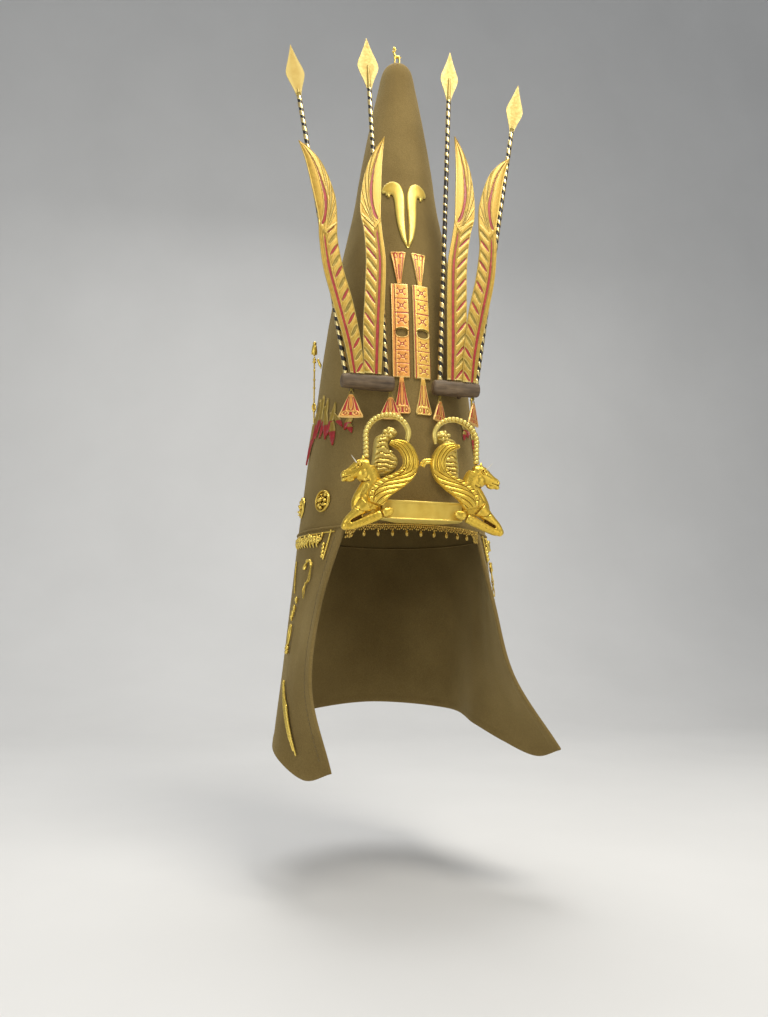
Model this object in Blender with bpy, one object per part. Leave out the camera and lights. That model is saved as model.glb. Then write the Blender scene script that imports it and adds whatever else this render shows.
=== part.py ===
"""Tall pointed felt hat with a nape-and-cheek skirt and sheet-gold ornaments.

Metres, +Z up. The hat faces -Y and the origin is the centre of its brow opening.
Left and right are as seen by someone who faces the hat: left is -X.
"""
import math

import bmesh
import bpy
import numpy as np

# Felt body
GAP = 0.0003
SKIRT_GAP = 0.0006
FELT = 0.0024
BROW_WIDTH = 0.176
BROW_DEPTH = 0.190
CROWN_HEIGHT = 0.500
ROUND_HEIGHT = 0.450
SKIRT_DROP = 0.206

# Emblem at the brow: a plate between two winged horses
PLATE_LOW = 0.0012
PLATE_HIGH = 0.0170
PLATE_WIDTH = 0.066
EMBLEM_STAND = 0.023
EMBLEM_FRONT = BROW_DEPTH / 2 + EMBLEM_STAND
HORSE_BEHIND = 0.005
HORSE_MIDDLE = EMBLEM_FRONT - HORSE_BEHIND
HORSE_WIDTH = 0.066
HORSE_DEPTH = 0.014
HEAD_DEPTH = 0.38
LEG_DEPTH = 0.006
WING_DEPTH = 0.0058
MANE_DEPTH = 0.011
HORN_WIDTH = 0.0048
HORN_FORWARD = 0.0005
HORN_BACK = 0.0010
EAR_LENGTH = 0.009
EAR_WIDTH = 0.0016

# Wooden bars, arrows, feathers and pendants
BAR_HEIGHT = 0.0146
BAR_DEPTH = 0.0130
BAR_PEG = 0.0040
ARROW_LENGTH = 0.338
ARROW_WIDTH = 0.0046
ARROW_LEAN_BACK = 0.085
ARROW_BEHIND = 0.0022
HEAD_LENGTH = 0.058
HEAD_WIDTH = 0.0195
HEAD_THICK = 0.0030
FEATHER_LENGTH = 0.232
FEATHER_WIDTH = 0.0200
FEATHER_THICK = 0.0012
FEATHER_LEAN_BACK = 0.080
FEATHER_FORWARD = 0.0029
PENDANT_HEIGHT = 0.0250
PENDANT_WIDTH = 0.0210
PENDANT_THICK = 0.0012
PENDANT_CLEAR = 0.008172

# Ladder strips and curved plates up the front
STRIP_LOW = 0.133
STRIP_LENGTH = 0.093
STRIP_WIDTH = 0.0150
STRIP_MIDDLE = 0.0095
STRIP_THICK = 0.0015
STRIP_HOLE_WIDTH = 0.0105
STRIP_HOLE_HEIGHT = 0.0070
FAN_HEIGHT = 0.0340
FOOT_HEIGHT = 0.0340
TUSK_HEIGHT = 0.0752
TUSK_LOW = 0.266
TUSK_WIDTH = 0.0092
TUSK_THICK = 0.0014

# Ornaments round the sides
BOSS_WIDTH = 0.0200
BOSS_HEIGHT = 0.0045
BOSS_LEVEL = 0.0245
PEAKS_LEVEL = 0.096
PEAKS_HEIGHT = 0.031
PEAKS_THICK = 0.0014
TREE_LOW = 0.106
TREE_HEIGHT = 0.082
TREE_WIDTH = 0.0026
TRIM_LEVEL = -0.0035
TRIM_HEIGHT = 0.0042
TRIM_DROP = 0.0050
TRIM_THICK = 0.0012
HOOK_WIDTH = 0.0030
RING_WIDTH = 0.0040
COMB_WIDTH = 0.0055
COMB_THICK = 0.0014
FINIAL_HEIGHT = 0.0225
FINIAL_WIDTH = 0.0090

CROWN_SIDES = 40
SKIRT_COLUMNS = 38
SKIRT_ROWS = 11
ROD_SIDES = 8
SIDES = (("left", -1), ("right", 1))

# Crown outline: height share, half-width share
CROWN_OUTLINE = (
    (0.000, 1.000), (0.120, 0.934), (0.240, 0.851), (0.380, 0.766), (0.520, 0.640), (0.660, 0.485),
    (0.730, 0.430), (0.800, 0.368), (0.860, 0.310), (0.900, 0.269), (0.940, 0.225), (0.970, 0.192),
    (0.986, 0.158), (0.996, 0.100), (1.000, 0.020),
)

# Skirt stations from the left brow corner round the nape to the right one:
# turn at the brow in degrees, then across, along and down shares at three levels
SKIRT_STATIONS = (
    (-40, -0.875, -0.82, 0.32, -0.955, -0.915, 0.645, -0.740, -0.885, 0.966),
    (-57, -0.965, -0.57, 0.33, -1.085, -0.640, 0.670, -0.965, -0.715, 1.000),
    (-75, -1.035, -0.29, 0.30, -1.125, -0.360, 0.605, -1.195, -0.465, 0.930),
    (-95, -1.050, 0.09, 0.29, -1.110, 0.060, 0.580, -1.190, -0.040, 0.880),
    (-130, -0.805, 0.67, 0.27, -0.870, 0.700, 0.545, -0.970, 0.740, 0.820),
    (-180, 0.000, 1.05, 0.26, 0.000, 1.105, 0.520, 0.000, 1.200, 0.780),
    (-230, 0.795, 0.67, 0.27, 0.830, 0.710, 0.535, 0.885, 0.755, 0.795),
    (-265, 1.000, 0.08, 0.28, 0.980, 0.060, 0.565, 0.955, 0.020, 0.835),
    (-285, 0.990, -0.29, 0.29, 1.015, -0.325, 0.585, 1.125, -0.315, 0.885),
    (-302, 0.930, -0.57, 0.30, 1.025, -0.630, 0.600, 1.350, -0.630, 0.927),
    (-315, 0.850, -0.82, 0.30, 1.010, -0.895, 0.590, 1.475, -0.895, 0.885),
)

# Horse sections as shares of its size: across, up, half-width, toward the front
NECK = (
    (0.684, 0.105, 0.172), (0.676, 0.260, 0.162), (0.650, 0.395, 0.136),
    (0.660, 0.515, 0.098), (0.697, 0.636, 0.083),
)
HEAD = (
    (0.682, 0.690, 0.091), (0.758, 0.633, 0.109), (0.841, 0.588, 0.091),
    (0.917, 0.542, 0.074), (0.974, 0.515, 0.055), (0.994, 0.506, 0.033),
)
THIGH = (
    (0.720, 0.140, 0.075), (0.795, 0.085, 0.062), (0.860, 0.028, 0.053), (0.925, -0.035, 0.047),
    (0.975, -0.095, 0.045),
)
SHIN = (
    (0.985, -0.112, 0.045), (0.925, -0.098, 0.054), (0.833, -0.071, 0.053), (0.712, -0.020, 0.058),
    (0.606, 0.029, 0.060), (0.515, 0.065, 0.056), (0.440, 0.091, 0.040), (0.402, 0.094, 0.024),
)
# Wing sections: outer edge across and up, inner edge across and up
WING = (
    (0.421, 0.974, 0.447, 0.927), (0.323, 0.986, 0.385, 0.894), (0.212, 0.962, 0.321, 0.847),
    (0.121, 0.864, 0.270, 0.750), (0.074, 0.700, 0.282, 0.662), (0.129, 0.530, 0.368, 0.583),
    (0.242, 0.417, 0.505, 0.514), (0.348, 0.341, 0.626, 0.433), (0.439, 0.265, 0.698, 0.332),
    (0.508, 0.159, 0.690, 0.205),
)
# Mane outline and horn path: across, up
MANE = (
    (0.568, 0.636), (0.568, 0.788), (0.553, 0.909), (0.545, 1.030), (0.523, 1.120), (0.447, 1.167),
    (0.417, 1.220), (0.356, 1.258), (0.280, 1.235), (0.245, 1.174), (0.303, 1.120), (0.364, 1.053),
    (0.341, 0.947), (0.250, 0.864), (0.250, 0.750), (0.379, 0.636),
)
MANE_TOP = max(up for across, up in MANE) * HORSE_WIDTH
# The bars lie so high that their pendants hang clear of the manes
BAR_MIDDLE = MANE_TOP + PENDANT_CLEAR + PENDANT_HEIGHT + GAP + BAR_HEIGHT / 2
HORN = (
    (0.704, 0.766), (0.708, 0.955), (0.709, 1.092), (0.658, 1.210), (0.568, 1.293), (0.439, 1.335),
    (0.316, 1.317), (0.220, 1.250), (0.165, 1.135), (0.180, 1.000),
)

# Feather sections: height share, spine offset as share of length, width share
FEATHERS = {
    "outer": (
        (0.00, 0.000, 0.60), (0.13, 0.024, 0.75), (0.30, 0.069, 0.92), (0.44, 0.103, 0.90),
        (0.57, 0.119, 0.83), (0.66, 0.123, 0.86), (0.77, 0.144, 0.99), (0.90, 0.171, 0.78),
        (0.965, 0.190, 0.42), (1.00, 0.202, 0.03),
    ),
    "inner": (
        (0.00, 0.000, 0.76), (0.16, -0.002, 0.90), (0.31, -0.004, 0.92), (0.46, -0.002, 0.91),
        (0.58, 0.016, 0.85), (0.65, 0.024, 0.95), (0.74, 0.026, 0.93), (0.84, 0.027, 0.75),
        (0.925, 0.025, 0.45), (1.00, 0.020, 0.03),
    ),
}
# Wooden bars: distance of the inner end from the middle, length
BARS = {"left": (0.0170, 0.0478), "right": (0.0161, 0.0435)}
# Feathers: bar, kind, place along the bar, extra lean, length share
FEATHER_PLACES = (
    ("left", "outer", 0.833, 0.010, 0.952), ("left", "inner", 0.264, -0.036, 1.024),
    ("right", "inner", 0.299, 0.036, 1.073), ("right", "outer", 0.885, -0.022, 1.008),
)
# Arrows: bar, place along the bar, lean, length share, head width share
ARROWS = (
    ("left", 0.889, 0.170, 0.992, 0.90), ("left", 0.149, 0.052, 1.042, 1.05),
    ("right", 0.184, 0.052, 1.042, 0.90), ("right", 0.949, 0.170, 0.981, 0.88),
)
# Pendants: bar, place along the bar, size, turn in degrees
PENDANTS = (
    ("left", 0.797, 1.00, 12), ("left", 0.078, 0.95, 12),
    ("right", 0.166, 0.92, 40), ("right", 0.864, 0.97, 48),
)
# Wooden bar sections: length share, half-height share, half-depth share
BAR = (
    (0.000, 0.60, 0.62), (0.035, 0.90, 0.92), (0.150, 1.00, 1.00), (0.500, 0.95, 1.00),
    (0.850, 0.92, 1.00), (0.965, 0.84, 0.92), (1.000, 0.56, 0.65),
)
# Leaf head of an arrow: length share, half-width share, half-thickness share
ARROWHEAD = (
    (0.00, 0.22, 1.00), (0.06, 0.28, 1.00), (0.22, 0.60, 0.80), (0.35, 0.88, 0.66), (0.45, 1.00, 0.60),
    (0.56, 0.86, 0.54), (0.70, 0.56, 0.45), (0.85, 0.28, 0.32), (1.00, 0.03, 0.12),
)
# Pendant plate: height share from the top, half-width share
PENDANT = ((0.00, 0.10), (0.16, 0.14), (0.30, 0.34), (0.55, 0.60), (0.80, 0.88), (0.94, 1.00), (1.00, 0.92))
# Curved plate sections: edge toward the middle across and up, edge away from it across and up
TUSK = (
    (0.06, 0.030, 0.16, 0.000), (0.14, 0.180, 0.62, 0.160), (0.19, 0.360, 0.92, 0.330),
    (0.17, 0.550, 1.07, 0.510), (0.12, 0.720, 1.13, 0.670), (0.20, 0.840, 1.24, 0.775),
    (0.48, 0.950, 1.40, 0.815), (0.90, 1.000, 1.58, 0.805), (1.40, 1.015, 1.75, 0.800),
    (1.90, 0.975, 1.98, 0.825), (2.26, 0.915, 2.22, 0.840), (2.38, 0.880, 2.34, 0.860),
)
# Ram's limbs: name, then across and up of both ends, thickness share
RAM = (
    ("trunk", -0.80, 0.520, 0.80, 0.533, 0.32), ("leg_left", -0.55, 0.02, -0.50, 0.52, 0.22),
    ("leg_right", 0.55, 0.02, 0.50, 0.52, 0.22), ("neck", -0.55, 0.52, -0.75, 0.78, 0.32),
    ("horns", -0.70, 0.78, -0.20, 1.00, 0.30),
)
# Zigzag of mountain leaves: turn in degrees, low and high edge in shares of its height
PEAKS = (
    (88.5, -0.45, -0.12), (86.0, -0.95, 0.00), (81.5, -0.25, 0.35), (77.5, 0.00, 0.72), (74.5, -0.05, 0.50),
    (71.0, -0.15, 1.00), (67.0, -0.35, 0.42), (63.0, -0.05, 0.80), (59.5, -0.45, 0.30), (55.5, -0.15, 0.58),
    (52.5, -0.70, 0.25), (49.5, -0.10, 0.28), (46.0, 0.02, 0.24), (42.0, -0.20, 0.00), (39.0, -0.42, -0.30),
)


def clear_scene():
    """Start from an empty scene."""
    for thing in list(bpy.data.objects):
        bpy.data.objects.remove(thing, do_unlink=True)


def finish(name, colour, roughness, metallic):
    """A plain surface of one colour."""
    made = bpy.data.materials.new(name)
    made.use_nodes = True
    shader = made.node_tree.nodes["Principled BSDF"]
    shader.inputs["Base Color"].default_value = (*colour, 1.0)
    shader.inputs["Roughness"].default_value = roughness
    shader.inputs["Metallic"].default_value = metallic
    return made


def spline(rows, places):
    """Values of a smooth curve through the rows at places counted in rows."""
    rows = np.asarray(rows, float)
    ends = np.vstack([2 * rows[0] - rows[1], rows, 2 * rows[-1] - rows[-2]])
    out = []
    for place in np.atleast_1d(places):
        k = int(min(max(math.floor(place), 0), len(rows) - 2))
        t = place - k
        a, b, c, d = ends[k:k + 4]
        cubic = (2 * a - 5 * b + 4 * c - d) * t * t + (3 * b - a - 3 * c + d) * t ** 3
        out.append(0.5 * (2 * b + (c - a) * t + cubic))
    return np.array(out)


def smooth(rows, count, fine=16):
    """Points spread evenly along a smooth curve through the rows."""
    dense = spline(rows, np.linspace(0, len(rows) - 1, fine * len(rows)))
    run = np.r_[0, np.cumsum(np.linalg.norm(np.diff(dense, axis=0), axis=1))]
    even = np.linspace(0, run[-1], count)
    return np.stack([np.interp(even, run, dense[:, k]) for k in range(dense.shape[1])], 1)


def unit(vector):
    return vector / np.linalg.norm(vector)


def add(name, mesh, surface, sharp=40):
    """Close a bmesh into a named object with its surface."""
    bmesh.ops.recalc_face_normals(mesh, faces=mesh.faces)
    data = bpy.data.meshes.new(name)
    mesh.to_mesh(data)
    mesh.free()
    data.shade_smooth()
    data.set_sharp_from_angle(angle=math.radians(sharp))
    data.materials.append(surface)
    made = bpy.data.objects.new(name, data)
    bpy.context.collection.objects.link(made)
    return made


def loft(name, rings, surface):
    """A closed solid through rings of equally many points, with flat ends."""
    mesh = bmesh.new()
    rows = [[mesh.verts.new(point) for point in ring] for ring in rings]
    count = len(rows[0])
    for low, high in zip(rows, rows[1:]):
        for k in range(count):
            after = (k + 1) % count
            mesh.faces.new((low[k], low[after], high[after], high[k]))
    mesh.faces.new(rows[0])
    mesh.faces.new(rows[-1])
    return add(name, mesh, surface)


def rod(name, path, across, deep, surface, sides=ROD_SIDES):
    """A rod with an oval section; across lies in the frontal plane, deep stands off it."""
    path = np.asarray(path, float)
    across = np.broadcast_to(across, len(path))
    deep = np.broadcast_to(deep, len(path))
    rings = []
    for k, point in enumerate(path):
        along = unit(path[min(k + 1, len(path) - 1)] - path[max(k - 1, 0)])
        side = unit(np.cross(along, (0.0, 1.0, 0.0)))
        out = np.cross(side, along)
        turns = np.arange(sides) * 2 * math.pi / sides
        rings.append([point + side * across[k] * math.cos(t) + out * deep[k] * math.sin(t) for t in turns])
    return loft(name, rings, surface)


def fuse(base, *others):
    """Join overlapping solids into the first one."""
    for other in others:
        other.hide_render = True
        other.display_type = "WIRE"
        join = base.modifiers.new("join_" + other.name, "BOOLEAN")
        join.operation = "UNION"
        join.solver = "EXACT"
        join.object = other
    return base


CROWN_CURVE = smooth(CROWN_OUTLINE, 240)


def crown_half(z):
    """Half-width and half-depth of the crown's outside at a height."""
    share = float(np.interp(z / CROWN_HEIGHT, CROWN_CURVE[:, 0], CROWN_CURVE[:, 1]))
    to_round = min(max(z / ROUND_HEIGHT, 0.0), 1.0)
    width = share * BROW_WIDTH / 2
    return width, width * (1 + (BROW_DEPTH / BROW_WIDTH - 1) * (1 - to_round))


def crown_point(turn, z, lift):
    """Point at an angle from the front, raised off the crown's outside."""
    wide, deep = crown_half(z)
    step = 0.002
    slope = (crown_half(z + step)[0] - crown_half(z - step)[0]) / (2 * step)
    flat = unit(np.array([math.sin(turn) / wide, -math.cos(turn) / deep, 0.0]))
    normal = unit(flat + np.array([0.0, 0.0, -slope]))
    return np.array([wide * math.sin(turn), -deep * math.cos(turn), z]) + normal * lift


def crown_front(x, z):
    """How far the crown's front lies before the origin at a place across and up."""
    wide, deep = crown_half(z)
    return deep * math.sqrt(1 - (x / wide) ** 2)


def facing(x, z):
    """Angle from the front of the crown point that lies at x."""
    return math.asin(max(min(x / crown_half(z)[0], 1.0), -1.0))


SKIRT_LEVELS = np.array([
    [(0.0, 0.0, 0.0)] * len(SKIRT_STATIONS),
    [row[1:4] for row in SKIRT_STATIONS],
    [row[4:7] for row in SKIRT_STATIONS],
    [row[7:10] for row in SKIRT_STATIONS],
])


def skirt_place(around, down):
    """Point of the skirt's outside: around in stations, down as a share of its fall."""
    turn = math.radians(spline([row[:1] for row in SKIRT_STATIONS], around)[0][0])
    size = np.array([BROW_WIDTH / 2, BROW_DEPTH / 2, -SKIRT_DROP])
    top = np.array([math.sin(turn) * size[0], -math.cos(turn) * size[1], -GAP])
    levels = [top] + [spline(level, around)[0] * size for level in SKIRT_LEVELS[1:]]
    return spline(levels, down * 3)[0]


def skirt_point(around, down, lift):
    """Point raised off the skirt's outside."""
    step = 0.02
    last = len(SKIRT_STATIONS) - 1
    sideways = skirt_place(min(around + step, last), down) - skirt_place(max(around - step, 0), down)
    downward = skirt_place(around, min(down + step, 1)) - skirt_place(around, max(down - step, 0))
    return skirt_place(around, down) + unit(np.cross(sideways, downward)) * lift


def skirt_facet(around, down, lift):
    """Point raised off the skirt's flat facets, for what lies on it."""
    column = around / (len(SKIRT_STATIONS) - 1) * (SKIRT_COLUMNS - 1)
    row = down * (SKIRT_ROWS - 1)
    first, top = min(int(column), SKIRT_COLUMNS - 2), min(int(row), SKIRT_ROWS - 2)
    total = skirt_point(around, down, lift) - skirt_place(around, down)
    for k, share in ((first, 1 - column + first), (first + 1, column - first)):
        for n, part in ((top, 1 - row + top), (top + 1, row - top)):
            corner = skirt_place(k * (len(SKIRT_STATIONS) - 1) / (SKIRT_COLUMNS - 1), n / (SKIRT_ROWS - 1))
            total = total + corner * share * part
    return total


def drape(name, stations, thick, surface, ground=crown_point, steps=2, gap=GAP):
    """A thin plate that follows the felt; each station is one line across the plate."""
    rings = []
    for (turn_a, z_a), (turn_b, z_b) in stations:
        places = [(turn_a + (turn_b - turn_a) * k / steps, z_a + (z_b - z_a) * k / steps)
                  for k in range(steps + 1)]
        under = [ground(turn, z, gap) for turn, z in places]
        over = [ground(turn, z, gap + thick) for turn, z in reversed(places)]
        rings.append(under + over)
    return loft(name, rings, surface)


def front_line(x_a, z_a, x_b, z_b):
    """A station across a plate on the crown's front, from its places across and up."""
    return (facing(x_a, z_a), z_a), (facing(x_b, z_b), z_b)


def crown(felt):
    """The pointed felt cone, open below."""
    turns = np.arange(CROWN_SIDES) * 2 * math.pi / CROWN_SIDES
    shares = (0, 0.12, 0.25, 0.38, 0.51, 0.64, 0.76, 0.85, 0.91, 0.965)
    between = (0.06, 0.185, 0.315, 0.445, 0.58, 0.61, 0.67, 0.70, 0.985, 0.996, 1.0)
    outside = [[crown_point(t, share * CROWN_HEIGHT, 0.0) for t in turns]
               for share in sorted(shares + between)]
    inside = []
    for share in shares:
        wide, deep = crown_half(share * CROWN_HEIGHT)
        inside.append([((wide - FELT) * math.sin(t), -(deep - FELT) * math.cos(t), share * CROWN_HEIGHT)
                       for t in turns])
    peak = CROWN_HEIGHT - 1.6 * FELT
    inside.append([(FELT * math.sin(t), -FELT * math.cos(t), peak) for t in turns])
    return loft("felt_crown", outside[::-1] + inside, felt)


def skirt(felt):
    """The felt sheet that hangs from the brow, split at the face."""
    last = len(SKIRT_STATIONS) - 1
    rings = []
    for around in np.linspace(0, last, SKIRT_COLUMNS):
        falls = np.linspace(0, 1, SKIRT_ROWS)
        outside = [skirt_point(around, down, 0.0) for down in falls]
        inside = [skirt_point(around, down, -FELT) for down in falls[::-1]]
        rings.append(outside + inside)
    return loft("felt_skirt", rings, felt)


def emblem_plate(gold):
    """The bar between the horses, thick where it sits on the crown and thin at its ends."""
    seat = crown_half(PLATE_LOW)[1] + GAP
    half = PLATE_WIDTH / 2
    thin = EMBLEM_FRONT - (EMBLEM_FRONT - seat) * 0.4
    plan = [(-half, -EMBLEM_FRONT), (half, -EMBLEM_FRONT), (half, -thin), (half * 0.5, -seat),
            (-half * 0.5, -seat), (-half, -thin)]
    return loft("emblem_plate", [[(x, y, z) for x, y in plan] for z in (PLATE_LOW, PLATE_HIGH)], gold)


def horse(word, side, gold):
    """Forepart of a horse: chest and neck, head, folded foreleg."""
    middle = EMBLEM_FRONT + GAP + LEG_DEPTH / 2

    def limb(label, rows, count, front, deep):
        rows = smooth(rows, count) * HORSE_WIDTH
        path = [(side * x, -front, z) for x, z, half in rows]
        return rod(label + word, path, rows[:, 2], deep, gold)

    chest = limb("horse_", NECK, 7, HORSE_MIDDLE, HORSE_DEPTH / 2)
    head = limb("head_guide_", HEAD, 7, HORSE_MIDDLE, HORSE_DEPTH * HEAD_DEPTH)
    thigh = limb("thigh_guide_", THIGH, 5, EMBLEM_FRONT, LEG_DEPTH * 0.7)
    shin = limb("shin_guide_", SHIN, 7, middle, LEG_DEPTH * 0.46)
    return fuse(chest, head, thigh, shin)


def wing(word, side, gold, count=13):
    """A wing that sweeps up over the chest and curls in at its tip."""
    back = HORSE_MIDDLE + HORSE_DEPTH / 2 * 0.87 + GAP
    rings = []
    for row in smooth(WING, count) * HORSE_WIDTH:
        outer = np.array([side * row[0], -back - WING_DEPTH / 2, row[1]])
        inner = np.array([side * row[2], -back - WING_DEPTH / 2, row[3]])
        turns = np.arange(ROD_SIDES) * 2 * math.pi / ROD_SIDES
        rings.append([(outer + inner) / 2 + (outer - inner) / 2 * math.cos(t)
                      + np.array([0.0, WING_DEPTH / 2 * math.sin(t), 0.0]) for t in turns])
    return loft("wing_" + word, rings, gold)


def mane(word, side, gold):
    """The upright mane behind the neck with its rosette, its back on the crown."""
    back = max(crown_front(x * HORSE_WIDTH, z * HORSE_WIDTH) for x, z in MANE) + GAP
    rings = [[(side * x * HORSE_WIDTH, y, z * HORSE_WIDTH) for x, z in MANE]
             for y in (-back, -back - MANE_DEPTH)]
    return loft("mane_" + word, rings, gold)


def horn(word, side, gold, count=18):
    """The long ibex horn that arches back over the mane."""
    rows = smooth(HORN, count) * HORSE_WIDTH
    depths = np.linspace(HORSE_MIDDLE + HORN_FORWARD, HORSE_MIDDLE - HORN_BACK, count)
    widths = np.linspace(HORN_WIDTH / 2, HORN_WIDTH * 0.33, count)
    path = [(side * x, -y, z) for (x, z), y in zip(rows, depths)]
    return rod("horn_" + word, path, widths, widths, gold, sides=6)


def ear(word, side, bone):
    """A thin pale spike beside the brow."""
    across, up = 0.818 * HORSE_WIDTH, 0.655 * HORSE_WIDTH
    stand = HORSE_MIDDLE + HORSE_DEPTH * HEAD_DEPTH * 0.8 + EAR_WIDTH / 2 + GAP
    reach = EAR_LENGTH / math.sqrt(2)
    path = [(side * across, -stand, up), (side * (across + reach), -stand - reach * 0.3, up + reach)]
    widths = (EAR_WIDTH / 2, EAR_WIDTH / 6)
    return rod("ear_" + word, path, widths, widths, bone, sides=6)


def bar_seat(word):
    """How far before the origin a bar's middle line lies."""
    return crown_front(BARS[word][0], BAR_MIDDLE - BAR_HEIGHT / 2) + GAP + BAR_DEPTH / 2


def along_bar(word, share):
    """Distance from the middle of a place along a bar."""
    inner, length = BARS[word]
    return inner + length * share


def bar(word, side, wood):
    """A carved wooden bar, with a hidden peg from its outer half to the crown."""
    seat = bar_seat(word)
    rows = np.array(BAR)
    path = [(side * along_bar(word, share), -seat, BAR_MIDDLE) for share in rows[:, 0]]
    beam = rod("bar_" + word, path, rows[:, 1] * BAR_HEIGHT / 2, rows[:, 2] * BAR_DEPTH / 2, wood, sides=10)
    place = along_bar(word, 0.72)
    reach = crown_front(place - BAR_PEG / 2, BAR_MIDDLE - BAR_PEG / 2) + GAP
    ring = [(side * place + BAR_PEG / 2 * math.cos(t), BAR_MIDDLE + BAR_PEG / 2 * math.sin(t))
            for t in np.arange(8) * math.pi / 4]
    peg = loft("peg_guide_" + word, [[(x, y, z) for x, z in ring] for y in (-seat, -reach)], wood)
    return fuse(beam, peg)


def bar_top(share, forward):
    """Height of the bar's rounded top at a place along it and before its middle line."""
    rows = np.array(BAR)
    half = float(np.interp(share, rows[:, 0], rows[:, 1])) * BAR_HEIGHT / 2
    deep = float(np.interp(share, rows[:, 0], rows[:, 2])) * BAR_DEPTH / 2
    return BAR_MIDDLE + half * math.sqrt(max(1 - (forward / deep) ** 2, 0.0))


def arrow(number, word, place, lean, length, head_width, shaft_surface, gold):
    """A thin arrow that stands on a bar, with a leaf head."""
    side = dict(SIDES)[word]
    foot = np.array([side * along_bar(word, place), ARROW_BEHIND - bar_seat(word), bar_top(place, 0.0) + GAP])
    toward = unit(np.array([side * lean, ARROW_LEAN_BACK, 1.0]))
    total = ARROW_LENGTH * length
    half = ARROW_WIDTH / 2
    top = foot + toward * (total - HEAD_LENGTH)
    shaft = rod(f"arrow_{number}", [foot, (foot + top) / 2, top], half, half, shaft_surface, sides=8)
    rows = np.array(ARROWHEAD)
    path = [top + toward * (GAP + HEAD_LENGTH * share) for share in rows[:, 0]]
    across = rows[:, 1] * head_width * HEAD_WIDTH / 2
    rod(f"arrowhead_{number}", path, across, rows[:, 2] * HEAD_THICK / 2, gold, sides=6)
    return shaft


def feather(number, word, kind, place, lean, length, gold, count=18):
    """A tall gilded feather plate, its spine on the outer or the inner side of the pair."""
    side = dict(SIDES)[word]
    spine_side = side if kind == "outer" else -side
    foot_x = side * along_bar(word, place)
    forward = FEATHER_FORWARD + (FEATHER_THICK + GAP if kind == "outer" else 0.0)
    foot_z = bar_top(place, forward - FEATHER_THICK / 2) + GAP
    rings = []
    for share, offset, width in smooth(FEATHERS[kind], count):
        z = foot_z + share * FEATHER_LENGTH * length
        spine = foot_x + side * (offset + lean * share) * FEATHER_LENGTH
        edge = spine - spine_side * width * FEATHER_WIDTH
        y = -bar_seat(word) - forward + FEATHER_LEAN_BACK * (z - foot_z)
        middle, half = (spine + edge) / 2, (spine - edge) / 2
        plan = ((half, -0.25), (half, 0.25), (0.0, 0.5), (-half, 0.25), (-half, -0.25), (0.0, -0.5))
        rings.append([(middle + a, y + b * FEATHER_THICK, z) for a, b in plan])
    return loft(f"feather_{number}", rings, gold)


def pendant(number, word, place, size, degrees, enamel):
    """A small bell-shaped plate that hangs on its loop under a bar."""
    rows = np.array(PENDANT)
    side = dict(SIDES)[word]
    middle = side * along_bar(word, place)
    top = BAR_MIDDLE - (bar_top(place, 0.0) - BAR_MIDDLE) - GAP
    turn = side * math.radians(degrees)
    rings = []
    for share, half in rows:
        wide, thick = half * size * PENDANT_WIDTH / 2, PENDANT_THICK / 2
        plan = ((-wide, -thick), (wide, -thick), (wide, thick), (-wide, thick))
        rings.append([(middle + a * math.cos(turn) - b * math.sin(turn),
                       -bar_seat(word) + a * math.sin(turn) + b * math.cos(turn),
                       top - share * size * PENDANT_HEIGHT) for a, b in plan])
    return loft(f"pendant_{number}", rings, enamel)


def strip(word, side, enamel):
    """A ladder strip: fan on top, long plate with an oval hole, splayed foot."""
    def piece(label, low, high, rows):
        stations = []
        for share, half in rows:
            z = low + (high - low) * share
            near = STRIP_MIDDLE - half * STRIP_WIDTH
            far = STRIP_MIDDLE + half * STRIP_WIDTH
            stations.append(front_line(side * near, z, side * far, z))
        return drape(f"strip_{label}_{word}", stations, STRIP_THICK, enamel, steps=3)

    top = STRIP_LOW + STRIP_LENGTH
    plate = piece("plate", STRIP_LOW, top, [(share, 0.5) for share in np.linspace(0, 1, 5)])
    piece("fan", top + GAP, top + GAP + FAN_HEIGHT, ((0, 0.12), (0.3, 0.22), (0.7, 0.35), (1, 0.46)))
    splay = ((0, 0.46), (0.12, 0.47), (0.5, 0.28), (1, 0.11))
    piece("foot", STRIP_LOW - GAP - FOOT_HEIGHT, STRIP_LOW - GAP, splay)
    level = STRIP_LOW + STRIP_LENGTH * 0.5
    turns = np.arange(16) * math.pi / 8
    front = crown_half(level)[1]
    oval = [(side * STRIP_MIDDLE + STRIP_HOLE_WIDTH / 2 * math.cos(t),
             level + STRIP_HOLE_HEIGHT / 2 * math.sin(t)) for t in turns]
    ends = [[(x, y, z) for x, z in oval] for y in (-front * 0.8, -front * 1.2)]
    cutter = loft("hole_guide_" + word, ends, enamel)
    cutter.hide_render = True
    cutter.display_type = "WIRE"
    hole = plate.modifiers.new("hole", "BOOLEAN")
    hole.operation = "DIFFERENCE"
    hole.solver = "EXACT"
    hole.object = cutter
    return plate


def tusk(word, side, gold):
    """A curved plate that hooks outward at its top."""
    rows = smooth(TUSK, 15) * (TUSK_WIDTH, TUSK_HEIGHT, TUSK_WIDTH, TUSK_HEIGHT)
    stations = [front_line(side * a, TUSK_LOW + low, side * b, TUSK_LOW + high) for a, low, b, high in rows]
    return drape("tusk_" + word, stations, TUSK_THICK, gold)


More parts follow.
